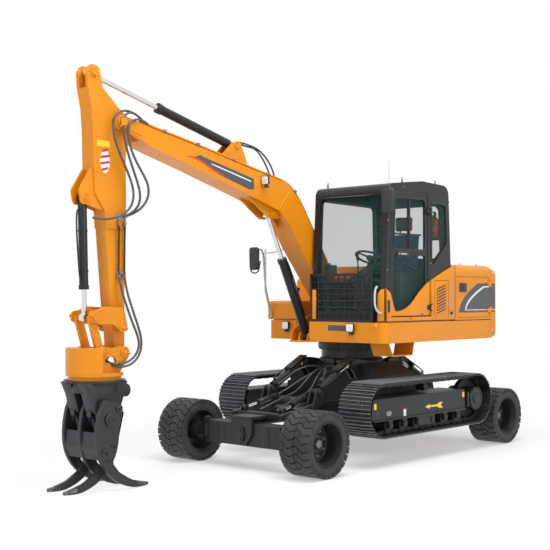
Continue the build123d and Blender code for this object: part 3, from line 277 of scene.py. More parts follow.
CAST_GREY = worn_steel(
    "cast_grey", "dark_paint", (0.022, 0.024, 0.027), (0.05, 0.053, 0.057), 0.6, 0.42
)
GRAPPLE_STEEL = worn_steel(
    "grapple_steel", "dark_paint", (0.03, 0.0325, 0.037), (0.075, 0.08, 0.088), 0.6, 0.4
)
BOLT_STEEL = worn_steel("bolt_steel", "track_steel", (0.2, 0.2, 0.21), (0.5, 0.5, 0.5), 0.5, 0.4)
TINE_TIP = worn_steel(
    "tine_tip_steel", "track_steel", (0.05, 0.053, 0.058), (0.2, 0.205, 0.21), 0.4, 0.36
)
ENGINE = worn_steel(
    "engine_casting", "engine_grey", (0.12, 0.12, 0.125), (0.2, 0.2, 0.2), 0.6, 0.6
)
CHROME = Finish("chrome_rod", "chrome_rod", (0.72, 0.73, 0.75), 0.13, 1.0)
CHROME.use(Roughness=CHROME.noise(60, 3, 0.5, (1, 1, 0.1)) * 0.12 + 0.08)
print("steels made")

# %% [markdown]
# Rubber, plastic, cloth and glass follow. What sets them apart is mostly how rough they are and
# how fine their grain is: cloth has a weave, vinyl has cells, and glass is let through.

# %% Rubber, plastic, glass and cloth
RUBBER = Finish("tyre_rubber", "tyre", (0.026, 0.028, 0.03), 0.6, Specular_IOR_Level=0.4)
RUBBER.shaded(0.25, 6)
RUBBER.use(Roughness=RUBBER.noise(25, 4) * 0.2 + 0.46)
RUBBER.bump(RUBBER.noise(240, 3), 0.35, 0.0015)

HOSE = Finish("hose_rubber", "black_plastic", (0.06, 0.064, 0.068), 0.42)
HOSE.shaded(0.2, 20)
HOSE.bump(HOSE.noise(300, 2), 0.3, 0.0008)

PLASTIC = Finish("black_plastic", "black_plastic", (0.022, 0.023, 0.025), 0.48)
PLASTIC.shaded(0.15, 12)
PLASTIC.bump(PLASTIC.noise(420, 2), 0.4, 0.0006)

GLASS = Finish("tinted_glass", "glass", (0.03, 0.1, 0.095), 0.02, Alpha=0.15, IOR=1.5)
GLASS.use(Roughness=GLASS.noise(4, 2) * 0.03 + 0.01)

CLOTH = Finish("seat_cloth", "seat_fabric", (0.035, 0.07, 0.13), 0.85)
weave = CLOTH.node("ShaderNodeTexChecker", None, {"Vector": CLOTH.place(), "Scale": 260}, output=1)
CLOTH.shaded(0.3, 30)
CLOTH.bump(weave + CLOTH.noise(500, 2), 0.5, 0.0012)

VINYL = Finish("seat_vinyl", "seat_fabric", (0.022, 0.023, 0.025), 0.5)
VINYL.shaded(0.15, 12)
VINYL.bump(VINYL.cells(300), 0.4, 0.0008)

LENS = Finish("lamp_lens", "glass", (0.5, 0.55, 0.58), 0.16, 0.25, Coat_Weight=0.6)
lens_cells = LENS.cells(75)
LENS.use(Base_Color=LENS.mix(lens_cells.rise(0.1, 0.5), (0.35, 0.36, 0.37), (0.9, 0.92, 0.93)))
LENS.bump(lens_cells, 0.6, 0.003)

MIRROR_GLASS = Finish("mirror_glass", "glass", (0.6, 0.64, 0.66), 0.03, 1.0)
MIRROR_GLASS.use(Roughness=MIRROR_GLASS.noise(5, 2) * 0.05 + 0.02)
print(len(bpy.data.materials), "materials so far")

# %% [markdown]
# Stripes and plates are thin films on the paint. They differ only in colour, so one function
# makes them, with the faint unevenness that printed film has.

# %% Painted films and seals
def film(name, slot, colour, roughness=0.38):
    made = Finish(name, slot, colour, roughness, Coat_Weight=0.2)
    made.shaded(0.06, 9)
    made.use(Roughness=made.noise(40, 3) * 0.12 + (roughness - 0.06))
    made.bump(made.noise(220, 2), 0.2, 0.0004)
    return made


FILM_GREY = film("film_grey", "dark_paint", (0.055, 0.059, 0.068))
FILM_WHITE = film("film_white", "glass", (0.75, 0.75, 0.74))
FILM_RED = film("film_red", "yellow_paint", (0.55, 0.02, 0.025))
FILM_YELLOW = film("film_yellow", "yellow_paint", (0.85, 0.55, 0.02))
PALE = film("pale_plastic", "black_plastic", (0.5, 0.52, 0.53), 0.5)
# Near-black rubber for seals; the same film also paints the shade in the louvres' slots and in the
# idlers' slots.
SEAL_AND_SLOT_SHADE = film("rubber_seal_and_slot_shade", "black_plastic", (0.016, 0.017, 0.018), 0.6)
BOTTLE = film("bottle_red", "yellow_paint", (0.42, 0.015, 0.015), 0.25)

# %% [markdown]
# Every solid of the machine now gets its finish. A table reads better here than a line for each.

# %% Which finish each solid gets
FINISHES = {
    YELLOW: ("platform", "cab_step", "counterweight", "engine_hood", "engine_door", "side_boxes"),
    YELLOW_ARM: ("boom", "stick", "rocker", "bucket_link", "coupler"),
    BLACK: (
        "cab_shell", "cab_door", "screen_guard", "boom_cylinder_barrel", "stick_cylinder_barrel",
        "bucket_cylinder_barrel",
    ),
    FRAME_GREY: (
        "chassis_frame", "slew_ring", "front_lift_arm", "front_axle", "knuckle_left",
        "knuckle_right", "rear_lift_arm", "front_lift_barrels", "rear_lift_barrels",
        "rim_front_left", "rim_front_right", "rim_rear_left", "rim_rear_right",
    ),
    SHOE_STEEL: ("track_left", "track_right"),
    CAST_GREY: ("track_wheels",),
    GRAPPLE_STEEL: ("grapple_head", "jaw_three", "jaw_two"),
    CHROME: (
        "steering_rod", "front_lift_rods", "rear_lift_rods", "boom_cylinder_rod",
        "stick_cylinder_rod", "bucket_cylinder_rod",
    ),
    RUBBER: ("tyre_front_left", "tyre_front_right", "tyre_rear_left", "tyre_rear_right"),
    GLASS: ("cab_glass", "door_glass"),
    PLASTIC: ("controls", "mirror"),
    CLOTH: ("seat",),
    ENGINE: ("engine_block",),
}
for finish, nodes in FINISHES.items():
    for node in nodes:
        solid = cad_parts[node]
        solid.data.materials.clear()
        solid.data.materials.append(finish.material)
print(sum(map(len, FINISHES.values())), "solids dressed, of", len(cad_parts))

# %% [markdown]
# ## Hands for the work
# These few helpers do what a maker does with the mouse: select, join, go into edit mode, add a
# modifier. An operator acts on all that is selected, so each starts from a clean selection.

# %% Selecting, joining and modifying
def clear_selection():
    if bpy.context.mode != "OBJECT":
        bpy.ops.object.mode_set(mode="OBJECT")
    bpy.ops.object.select_all(action="DESELECT")


def pick(*pieces):
    clear_selection()
    for piece in pieces:
        piece.select_set(True)
    bpy.context.view_layer.objects.active = pieces[0]
    return pieces[0]


@contextmanager
def editing(piece):
    """Edit mode, with the whole mesh selected."""
    pick(piece)
    bpy.ops.object.mode_set(mode="EDIT")
    bpy.ops.mesh.select_all(action="SELECT")
    yield
    bpy.ops.object.mode_set(mode="OBJECT")


def join(name, pieces):
    """Several pieces become one mesh under one name."""
    piece = pick(*pieces)
    if len(pieces) > 1:
        bpy.ops.object.join()
    piece.name = name
    return piece


def modify(piece, kind, **settings):
    """Add a modifier with its settings, and apply it."""
    pick(piece)
    bpy.ops.object.modifier_add(type=kind)
    modifier = piece.modifiers[-1]
    for key, value in settings.items():
        setattr(modifier, key, value)
    bpy.ops.object.modifier_apply(modifier=modifier.name)
    return piece


def bevel(piece, width, segments=2, angle=35):
    return modify(
        piece, "BEVEL", width=width, segments=segments, limit_method="ANGLE",
        angle_limit=math.radians(angle),
    )


def tidy(piece):
    """Close doubles and turn every face outwards."""
    with editing(piece):
        bpy.ops.mesh.remove_doubles(threshold=0.00005)
        bpy.ops.mesh.normals_make_consistent(inside=False)
    return piece


def copied(piece, matrix):
    """A copy with its own mesh, moved by a matrix."""
    again = piece.copy()
    again.data = piece.data.copy()
    bpy.context.collection.objects.link(again)
    again.data.transform(matrix)
    return again


# %% [markdown]
# Sheet metal starts as a drawing. `outline` takes a filled circle and pulls its corners to the
# outline of a plate, `plate` gives that plate its thickness, and `box` is a block between two
# corners. Their edges are eased, because no real edge is sharp.

# %% Plates and blocks
AXES = {
    "X": Matrix(((0, 0, 1, 0), (1, 0, 0, 0), (0, 1, 0, 0), (0, 0, 0, 1))),
    "Y": Matrix(((1, 0, 0, 0), (0, 0, 1, 0), (0, 1, 0, 0), (0, 0, 0, 1))),
    "Z": Matrix.Identity(4),
}


def outline(points):
    """A flat face with its corners at these (u, v) points, in the X-Y plane."""
    clear_selection()
    bpy.ops.mesh.primitive_circle_add(vertices=len(points), radius=1, fill_type="NGON")
    piece = bpy.context.object
    for vertex, (u, v) in zip(piece.data.vertices, points):
        vertex.co = (u, v, 0)
    return piece


def raised(points, height):
    """An outline given its height."""
    piece = outline(points)
    with editing(piece):
        bpy.ops.mesh.extrude_region_move(TRANSFORM_OT_translate={"value": (0, 0, height)})
    return piece


def plate(points, low, high, axis="Y", edge=0.0, segments=2):
    """A plate along an axis: for X its points are (y, z), for Y (x, z), for Z (x, y)."""
    piece = raised(points, high - low)
    piece.data.transform(Matrix.Translation((0, 0, low)))
    piece.data.transform(AXES[axis])
    tidy(piece)
    return bevel(piece, edge, segments) if edge else piece


def rectangle(u_low, v_low, u_high, v_high):
    return [(u_low, v_low), (u_high, v_low), (u_high, v_high), (u_low, v_high)]


def box(corner, opposite, edge=0.0, segments=2):
    """A block between two corners, with its edges eased."""
    low, high = zip(*(sorted(pair) for pair in zip(corner, opposite)))
    clear_selection()
    bpy.ops.mesh.primitive_cube_add(size=1, location=[(a + b) / 2 for a, b in zip(low, high)])
    piece = bpy.context.object
    piece.scale = [b - a for a, b in zip(low, high)]
    bpy.ops.object.transform_apply(location=True, rotation=True, scale=True)
    return bevel(piece, edge, segments) if edge else piece


# %% [markdown]
# Round pieces are turned as on a lathe: half a section is spun about its axis. A bar is a cone
# primitive between two points, and a hose is a curve with a round bevel, made a mesh.

# %% Round pieces
UPWARD = (0, 0, 1)


def standing(direction):
    """The turn that brings Z to a direction."""
    return Vector(direction).to_track_quat("Z", "Y").to_matrix().to_4x4()


def drum(start, end, radius, sides=24, end_radius=None, edge=0.0):
    """A round bar or cone between two points."""
    clear_selection()
    start, end = Vector(start), Vector(end)
    bpy.ops.mesh.primitive_cone_add(
        vertices=sides, radius1=radius, radius2=radius if end_radius is None else end_radius,
        depth=(end - start).length,
    )
    piece = bpy.context.object
    piece.data.transform(Matrix.Translation((start + end) / 2) @ standing(end - start))
    return bevel(piece, edge, 2) if edge else piece


def turned(profile, centre, direction, sides=48):
    """A closed (radius, height) outline spun round an axis through centre."""
    piece = outline(profile)
    piece.data.transform(Matrix.Rotation(math.pi / 2, 4, "X"))
    with editing(piece):
        bpy.ops.mesh.spin(steps=sides, angle=2 * math.pi, axis=(0, 0, 1), center=(0, 0, 0))
        bpy.ops.mesh.select_all(action="SELECT")
        bpy.ops.mesh.remove_doubles(threshold=0.0001)
        bpy.ops.mesh.delete_loose(use_faces=False)
    mesh = bmesh.new()
    mesh.from_mesh(piece.data)
    inner = [f for f in mesh.faces if len(f.verts) == len(profile) and len(profile) > 4]
    bmesh.ops.delete(mesh, geom=inner, context="FACES")
    mesh.to_mesh(piece.data)
    mesh.free()
    piece.data.transform(Matrix.Translation(centre) @ standing(direction))
    return tidy(piece)


def knob(steps, at, direction, sides=28, crown=None):
    """A turned piece that closes on its axis; crown is the height of its middle."""
    top = steps[-1][1] if crown is None else crown
    return turned([(0.0, steps[0][1]), *steps, (0.0, top)], at, direction, sides)


def bolt(at, direction, radius, height):
    """A hexagon head on its washer."""
    at, direction = Vector(at), Vector(direction).normalized()
    seat = at + direction * height * 0.25
    washer = drum(at, seat, radius * 1.35, 16)
    return join("bolt", [washer, drum(seat, at + direction * height, radius, 6, radius * 0.94)])


def ring_of(piece, count, centre, axis, first=0.0):
    """The piece and its copies round an axis, as one mesh."""
    there, step = Matrix.Translation(centre), 2 * math.pi / count
    ring = [
        copied(piece, there @ Matrix.Rotation(first + step * i, 4, axis) @ there.inverted())
        for i in range(count)
    ]
    bpy.data.objects.remove(piece)
    return join("ring", ring)


def torus(major, minor, segments, at=(0, 0, 0), turn=(0, 0, 0)):
    clear_selection()
    bpy.ops.mesh.primitive_torus_add(
        major_radius=major, minor_radius=minor, major_segments=segments[0],
        minor_segments=segments[1], location=at, rotation=turn,
    )
    return bpy.context.object


def hose(points, radius, sides=10):
    """A round tube along a smooth line through its control points."""
    clear_selection()
    bpy.ops.curve.primitive_nurbs_path_add()
    curve = bpy.context.object.data
    curve.splines.clear()
    spline = curve.splines.new("NURBS")
    spline.points.add(len(points) - 1)
    for point, place in zip(spline.points, points):
        point.co = (*place, 1)
    spline.order_u = min(4, len(points))
    spline.use_endpoint_u = True
    spline.resolution_u = 6
    curve.dimensions = "3D"
    curve.bevel_depth = radius
    curve.bevel_resolution = sides // 4
    curve.use_fill_caps = True
    bpy.ops.object.convert(target="MESH")
    return bpy.context.object


# %% [markdown]
# A finished piece is settled: joined, named, dressed, moved into the solids' frame, and told which
# body it rides on, by a parent empty that it moves with. A hose that crosses a joint is settled on
# its first body, then set free of it and fixed where it lies.

# %% Settling a piece
def settle(name, body, finish, *pieces, smooth=40, stands_for=()):
    piece = join(name, pieces)
    bpy.ops.object.transform_apply(location=True, rotation=True, scale=True)
    piece.data.transform(Matrix.Translation((-AHEAD, 0, 0)))
    piece.data.name = name
    piece.data.materials.clear()
    piece.data.materials.append(finish.material)
    bpy.ops.object.shade_smooth_by_angle(angle=math.radians(smooth))
    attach(piece, body)
    if stands_for:
        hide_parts(*stands_for)
    clear_selection()
    return piece


def bending_hose(name, first, points, radius, start, end):
    """A hose settled on its first body, then freed from it and fixed where it lies."""
    line = settle(name, first, HOSE, hose(points, radius, 12), smooth=60)
    line.parent = None
    start, end = ((points[i][0] - AHEAD, points[i][1], points[i][2]) for i in (start, end))
    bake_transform(line)


# %% [markdown]
# ## Tyres
# Each wheel carries two solid tyres side by side. Round each run blocks with a wavy edge, every
# second one split in two. One block is drawn flat as an outline, thickened, wrapped round the wheel
# and copied in a ring, and the plain carcass under the blocks is a profile spun round the axle.

# %% One tread block
PITCHES = 26
PITCH = 2 * math.pi * WHEEL_R / PITCHES
HALF_TYRE = 0.199
BLOCK_DEPTH = 0.034
GROOVE, SLIT = 0.0055, 0.003
WAVE = ((0.0, 0.04), (0.16, 0.0), (0.62, 0.78), (1.0, 0.52))


def tread_outlines():
    """Outlines of a whole block and of the two halves of a split one, as (across, round)."""
    low = [(u * HALF_TYRE, v * PITCH + GROOVE) for u, v in WAVE]
    high = [(u * HALF_TYRE, (v + 1) * PITCH - GROOVE) for u, v in WAVE]
    u_low, v_low = 0.37 * HALF_TYRE, 0.36 * PITCH + GROOVE
    u_high, v_high = 0.27 * HALF_TYRE, 1.19 * PITCH - GROOVE
    first = low[:2] + [(u_low - SLIT, v_low), (u_high - SLIT, v_high)] + high[1::-1]
    second = [(u_low + SLIT, v_low)] + low[2:] + high[:1:-1] + [(u_high + SLIT, v_high)]
    return low + high[::-1], first, second


def wrap(piece, radius):
    """Bend a flat strip, drawn round along Y with its height along Z, about the wheel's axle."""
    for vertex in piece.data.vertices:
        across, around, height = vertex.co
        angle = around / WHEEL_R
        reach = radius + height
        vertex.co = (reach * math.sin(angle), across, reach * math.cos(angle))
    return piece


def tread_block(points):
    piece = bevel(tidy(raised(points, BLOCK_DEPTH)), 0.003, 1, 30)
    for share in (0.33, 0.66, 1.0, 1.33):
        with editing(piece):
            bpy.ops.mesh.bisect(plane_co=(0, share * PITCH, 0), plane_no=(0, 1, 0))
    return wrap(piece, WHEEL_R - BLOCK_DEPTH)


# %% [markdown]
# The two rows of blocks are set off by a third of a pitch, as on the real tyre.

# %% Four wheels' tyres
CARCASS = [
    (0.245, -0.185), (0.262, -0.2), (0.29, -0.2035), (0.318, -0.2035), (0.335, -0.196),
    (0.349, -0.182), (0.349, -0.02), (0.336, -0.008), (0.3, 0.0), (0.336, 0.008), (0.349, 0.02),
    (0.349, 0.182), (0.335, 0.196), (0.318, 0.2035), (0.312, 0.2015), (0.306, 0.2035),
    (0.29, 0.2035), (0.262, 0.2), (0.245, 0.185),
]
ROW_GAP = 0.0035


def make_tyre():
    """The twin tyres about the origin, with their axle along Y."""
    whole, first, second = (tread_block(points) for points in tread_outlines())
    blocks = []
    for stagger, slide in ((0, -HALF_TYRE - ROW_GAP), (0.35, ROW_GAP)):
        for index in range(PITCHES):
            turn = Matrix.Rotation((index + stagger) * 2 * math.pi / PITCHES, 4, "Y")
            for block in (whole,) if index % 2 else (first, second):
                blocks.append(copied(block, Matrix.Translation((0, slide, 0)) @ turn))
    for block in (whole, first, second):
        bpy.data.objects.remove(block)
    return join("tyre_pattern", [turned(CARCASS, (0, 0, 0), (0, 1, 0), 72)] + blocks)


pattern = make_tyre()
for place, x, side, body in WHEELS:
    turn = Matrix.Rotation(0 if side == 1 else math.pi, 4, "Z")
    tyre = copied(pattern, Matrix.Translation((x, side * WHEEL_Y, WHEEL_Z)) @ turn)
    settle("treads_" + place, body, RUBBER, tyre, smooth=30, stands_for=("tyre_" + place,))
bpy.data.objects.remove(pattern)
print("a tyre has", len(tyre.data.polygons), "faces")

# %% [markdown]
# ## Tracks
# A track is a chain of steel shoes. Each shoe is a plate with three low bars across it, bolted to
# two rows of links. One shoe is modelled, then copied round the loop at an even pitch.

# %% The way round the loop
SHOES = 43
RUN = IDLER_X - SPROCKET_X
HALF_TURN = math.pi * LOOP_R
LOOP = 2 * RUN + 2 * HALF_TURN


def loop_matrix(distance):
    """Where a shoe sits at a distance along the loop: local X forward, local Z outward."""
    def end(x, angle):
        turn = Matrix.Rotation(angle, 4, "Y")
        return Matrix.Translation((x, 0, LOOP_Z)) @ turn @ Matrix.Translation((0, 0, LOOP_R))

    distance %= LOOP
    if distance < RUN:
        return Matrix.Translation((SPROCKET_X + distance, 0, LOOP_Z + LOOP_R))
    distance -= RUN
    if distance < HALF_TURN:
        return end(IDLER_X, distance / LOOP_R)
    distance -= HALF_TURN
    if distance < RUN:
        under = Matrix.Translation((IDLER_X - distance, 0, LOOP_Z - LOOP_R))
        return under @ Matrix.Rotation(math.pi, 4, "Y")
    return end(SPROCKET_X, math.pi + (distance - RUN) / LOOP_R)


# %% [markdown]
# The shoe's section has its bars' crests at height 0, so the loop's radius is that of the crests.

# %% Shoes and links round both loops
SHOE = [
    (-0.066, -0.026), (0.06, -0.026), (0.066, -0.03), (0.066, -0.022), (0.053, -0.018),
    (0.05, 0.0), (0.044, 0.0), (0.041, -0.018), (0.006, -0.018), (0.003, 0.0), (-0.003, 0.0),
    (-0.006, -0.018), (-0.041, -0.018), (-0.044, 0.0), (-0.05, 0.0), (-0.053, -0.018),
    (-0.066, -0.018),
]
LINK = [
    (-0.066, -0.07), (-0.04, -0.072), (0.02, -0.075), (0.06, -0.07), (0.072, -0.055),
    (0.06, -0.038), (0.03, -0.026), (-0.04, -0.026), (-0.06, -0.04),
]
HALF_SHOE, LINK_Y, BOLT_Y = 0.225, 0.062, 0.105


def make_shoe():
    parts = [plate(SHOE, -HALF_SHOE, HALF_SHOE)]
    for side in (-1, 1):
        parts.append(plate(LINK, side * LINK_Y - 0.012, side * LINK_Y + 0.012))
        for x in (-0.03, 0.022):
            for y in (side * LINK_Y, side * BOLT_Y):
                parts.append(drum((x, y, -0.019), (x, y, -0.009), 0.0095, 6))
    parts.append(drum((0.062, -0.08, -0.055), (0.062, 0.08, -0.055), 0.013, 10))
    return join("shoe_pattern", parts)


shoe = make_shoe()
for place, side in (("left", 1), ("right", -1)):
    middle = Matrix.Translation((0, side * TRACK_Y, 0))
    shoes = [copied(shoe, middle @ loop_matrix((i + 0.3) * LOOP / SHOES)) for i in range(SHOES)]
    settle(
        "shoes_" + place, "undercarriage", SHOE_STEEL, *shoes, smooth=30,
        stands_for=("track_" + place,),
    )
bpy.data.objects.remove(shoe)
print(SHOES, "shoes a side,", round(LOOP / SHOES * 1000, 1), "mm apart")

# %% [markdown]
# ## Yellow skins of the cab
# The lower part of the cab wears yellow panels, with one long S-curve along their top. The curve
# runs on over the door, whose panel swings with it, so the skin is cut at the door's edges.

# %% Panels under one curve
def smooth_line(points, steps=6):
    """More points on the smooth line through these ones."""
    line, last = [], len(points) - 1
    for i in range(last):
        before, a, b, after = (
            Vector(points[max(0, min(last, j))]) for j in (i - 1, i, i + 1, i + 2)
        )
        for k in range(steps):
            t = k / steps
            line.append(tuple(
                0.5 * (2 * a + (b - before) * t + (2 * before - 5 * a + 4 * b - after) * t * t
                       + (3 * a - before - 3 * b + after) * t ** 3)
            ))
    return line + [tuple(points[-1])]


S_CURVE = smooth_line([
    (-0.797, 2.385), (-0.62, 2.325), (-0.42, 2.25), (-0.225, 2.166), (-0.11, 2.1),
    (-0.005, 2.028), (0.08, 1.955), (0.167, 1.89), (0.28, 1.838), (0.419, 1.806), (0.49, 1.815),
    (0.525, 1.88), (0.55, 1.95), (0.6, 2.02), (0.661, 2.063), (0.7, 2.078),
], 4)
DOOR_BACK, DOOR_FRONT = -0.2425, 0.584


def under_curve(x_low, x_high, bottom):
    """The outline of the skin between two places, from its foot to the curve."""
    def height(x):
        for (ax, az), (bx, bz) in zip(S_CURVE, S_CURVE[1:]):
            if ax <= x <= bx:
                return az + (bz - az) * (x - ax) / (bx - ax)
        return S_CURVE[-1][1]
    inner = [(x, z) for x, z in S_CURVE if x_low < x < x_high]
    top = [(x_low, height(x_low))] + inner + [(x_high, height(x_high))]
    return [(x_low, bottom)] + top + [(x_high, bottom)]


SKINS = (
    ("skin_rear", "upper", -0.797, -0.262, 1.69, 1.038, HOOD_Y),
    ("skin_front", "upper", 0.592, 0.7, 1.69, 1.038, HOOD_Y),
    ("skin_door", "cab_door_body", DOOR_BACK, DOOR_FRONT, 1.75, 1.034, 1.053),
)
for name, body, x_low, x_high, bottom, low, high in SKINS:
    settle(name, body, YELLOW, plate(under_curve(x_low, x_high, bottom), low, high, "Y", 0.004))
sill = plate(rectangle(-0.262, 1.69, 0.592, 1.737), 1.038, HOOD_Y, "Y", 0.004)
pillar = [(0.94, 1.69), (1.068, 1.69), (1.068, 2.078), (0.99, 2.07), (0.94, 2.02)]
settle("skin_sill", "upper", YELLOW, sill, plate(pillar, 0.68, 0.7, "X", 0.004))
edge = under_curve(DOOR_BACK, DOOR_FRONT, 1.745)[1:-1]
seal = plate(edge + [(x, z + 0.012) for x, z in reversed(edge)], 1.03, 1.042)
settle("skin_door_seal", "cab_door_body", SEAL_AND_SLOT_SHADE, seal)
print("skins:", len(SKINS) + 2)

# %% [markdown]
# ## Stripes
# The hood carries a dark swoosh with a white and a red line, the boom a dark band with a red one,
# and the stick a red and white warning bar. All are bare of words. The swoosh crosses the engine
# door, so it is cut there, and its middle swings with the door.

# %% Swoosh on the hood
FILM, THIN_FILM = 0.0012, 0.0006


def between(top, bottom, x_low, x_high, y, thick):
    """A film between two lines z(x), from one x to another."""
    xs = [x_low + (x_high - x_low) * i / 24 for i in range(25)]
    points = [(x, bottom(x)) for x in xs] + [(x, top(x)) for x in reversed(xs)]
    return plate(points, y, y + thick)


def rise_line(start, reach, low, high, power):
    """A line that rises from low at start and flattens to high, towards smaller x."""
    return lambda x: low + (high - low) * min(1, max(0, (start - x) / reach)) ** power


def level(z):
    return lambda x: z


swoosh_top = rise_line(-0.884, 0.47, 1.778, 2.16, 0.55)
white_top = rise_line(-1.034, 0.46, 1.812, 2.125, 0.55)
white_under = rise_line(-1.062, 0.46, 1.812, 2.105, 0.6)
for body, x_low, x_high in (("engine_door_body", -1.638, -0.884), ("upper", -1.79, -1.644)):
    dark = between(swoosh_top, level(1.776), x_low, x_high, HOOD_Y, FILM)
    settle("swoosh_dark_" + body, body, FILM_GREY, dark)
    white_high, layer = min(x_high, -1.034), HOOD_Y + FILM
    rim = between(white_top, white_under, max(x_low, -1.636), white_high, layer, THIN_FILM)
    foot = between(level(1.814), level(1.804), x_low, white_high, layer, THIN_FILM)
    settle("swoosh_white_" + body, body, FILM_WHITE, rim, foot)
    red = between(level(1.797), level(1.79), x_low, white_high - 0.02, layer, THIN_FILM)
    settle("swoosh_red_" + body, body, FILM_RED, red)

# %% [markdown]
# The boom's band is one plate outline with two thinner films on it. The warning bar's stripes are
# cut to the oval that they fill.

# %% Band on the boom and warning bar on the stick
BOOM_FACE = BOOM_Y + 0.15
STICK_FACE = BOOM_Y + 0.095
OVAL_X, OVAL_Z = 3.904, 3.395

band = [
    (2.67, 3.557), (2.593, 3.58), (1.709, 3.385), (1.70, 3.262), (1.79, 3.255), (2.30, 3.392),
    (2.48, 3.465),
]
settle("band_dark", "boom_body", FILM_GREY, plate(band, BOOM_FACE, BOOM_FACE + FILM))
accent = smooth_line([(2.79, 3.553), (2.66, 3.552), (2.5, 3.502), (2.34, 3.43), (2.2, 3.385)], 5)
belly = [
    (x, z - 0.022 * math.sin(math.pi * i / len(accent)) - 0.004) for i, (x, z) in enumerate(accent)
]
stroke = [(1.76, 3.36), (2.40, 3.502), (2.42, 3.494), (1.76, 3.345)]
layer = BOOM_FACE + FILM
settle("band_red", "boom_body", FILM_RED, plate(accent + belly[::-1], layer, layer + 0.0008))
settle("band_white", "boom_body", FILM_WHITE, plate(stroke, layer, layer + 0.0008))

oval = [
    (OVAL_X + 0.066 * math.cos(a) * (1 - 0.1 * abs(math.sin(a))), OVAL_Z + 0.125 * math.sin(a))
    for a in (2 * math.pi * i / 32 for i in range(32))
]
settle("warning_white", "stick_body", FILM_WHITE, plate(oval, STICK_FACE, STICK_FACE + 0.001))
bars = []
for z in (3.30, 3.365, 3.43, 3.495):
    reach = 0.062 * math.sqrt(max(0.05, 1 - ((z - OVAL_Z) / 0.13) ** 2))
    left, right = OVAL_X - reach, OVAL_X + reach
    slant = [(left, z + 0.012), (right, z - 0.012), (right, z + 0.014), (left, z + 0.038)]
    bars.append(plate(slant, STICK_FACE + 0.001, STICK_FACE + 0.0018))
settle("warning_red", "stick_body", FILM_RED, *bars)
tag = [(3.84, 3.54), (4.01, 3.545), (4.01, 3.61), (3.84, 3.605)]
settle("plate_stick", "stick_body", FILM_YELLOW, plate(tag, STICK_FACE, STICK_FACE + 0.001))
print("stripes done")

# %% [markdown]
# ## Hood and side panels
# Vents, seams, locks and the handle recess make the sheet metal read as separate panels. A vent is
# a
# pressed louvre: a raised lip over a slanted slot, whose shade is painted as a near-black plate,
# copied nine times.

# %% Louvres and seams
def louvre(x, z):
    """A slanted slot, 0.2 m long, drawn as a near-black plate of painted shade, with its lip."""
    def slant(low, high):
        return [(x - 0.1, z + low), (x + 0.1, z + low - 0.056),
                (x + 0.1, z + high - 0.056), (x - 0.1, z + high)]
    # The slot is a near-black plate that paints the shade under the lip.
    slot = plate(slant(-0.004, 0.012), 1.0675, 1.0715)
    return slot, plate(slant(0.012, 0.015), 1.067, 1.0722, "Y", 0.001)


slot_shades, lips = zip(*(louvre(-0.475, 2.13 - 0.038 * i) for i in range(9)))
# Painted shade: a near-black plate in each louvre's slot.
settle("louvre_slot_shades", "upper", SEAL_AND_SLOT_SHADE, *slot_shades)
settle("louvre_lips", "upper", YELLOW, *lips)

SEAM_LOW, SEAM_HIGH = 1.0678, 1.0686
UPRIGHT_SEAMS = (
    (-0.797, 1.70, 2.385, 0.006), (-0.33, 1.71, 2.19, 0.003), (-0.64, 1.71, 2.19, 0.003),
)
seams = [
    box((x - half, SEAM_LOW, low - half), (x + half, SEAM_HIGH, high + half))
    for x, low, high, half in UPRIGHT_SEAMS
]
top_seam = [(-0.643, 2.187), (-0.327, 2.182), (-0.327, 2.188), (-0.643, 2.193)]
settle("hood_seams", "upper", SEAL_AND_SLOT_SHADE, *seams, plate(top_seam, SEAM_LOW, SEAM_HIGH))

# %% [markdown]
# Locks, the handle recess and the lifting eyes stand on the panels.

# %% Locks and eyes of the hood
def lock_cap(x, z, radius, height=0.012):
    """A turned cap with a dimple for the key."""
    return knob([
        (radius, 0.0), (radius, height * 0.75), (radius - 0.004, height), (radius * 0.62, height),
        (radius * 0.55, height * 0.55), (radius * 0.3, height * 0.55),
        (radius * 0.24, height * 0.9),
    ], (x, HOOD_Y, z), (0, 1, 0), 32)


settle(
    "door_lock", "engine_door_body", PLASTIC,
    box((-1.065, 1.068, 2.045), (-0.9, 1.079, 2.16), 0.006),
    box((-1.035, 1.0785, 2.075), (-0.93, 1.0805, 2.13), 0.003),
    drum((-0.985, 1.08, 2.1), (-0.985, 1.088, 2.1), 0.012, 16),
)
caps = [lock_cap(-0.712, 1.773, 0.02), lock_cap(-0.05, 1.765, 0.009), lock_cap(0.2, 1.72, 0.009)]
settle("panel_locks", "upper", PLASTIC, *caps)
hinge = box((-0.302, 1.066, 1.905), (-0.264, 1.0725, 2.03), 0.002)
settle("hinge_cover", "upper", YELLOW, hinge)
settle(
    "grab_pull", "upper", PLASTIC,
    box((0.625, 1.066, 1.797), (0.668, 1.071, 1.945), 0.012, 3),
    box((0.632, 1.07, 1.81), (0.661, 1.082, 1.932), 0.008, 3),
)
eyes = [
    torus(0.014, 0.004, (20, 8), (x, y, 2.41), (math.pi / 2, 0, 0.4))
    for y in (0.9, -0.9) for x in (-1.17, -1.59)
]
settle("hood_eyes", "upper", BOLT_STEEL, *eyes)
print("hood fittings done")

# %% [markdown]
# ## Seat
# The cushions start as boxes a little smaller than the solids. Each is remeshed into even cells,
# blown up as cloth with a cap on how far a point may move, and smoothed once.

# %% Cushions
SEAT = Vector((-0.23, 0.4725, 1.732))


def blow_up(piece):
    """Let the piece swell as cloth under pressure."""
    pick(piece)
    bpy.ops.object.modifier_add(type="CLOTH")
    cloth = piece.modifiers[-1]
    cloth.settings.use_pressure = True
    cloth.settings.uniform_pressure_force = 4
    cloth.settings.effector_weights.gravity = 0
    scene = bpy.context.scene
    for moment in range(1, 21):
        scene.frame_set(moment)
    bpy.ops.object.modifier_apply(modifier=cloth.name)
    scene.frame_set(1)


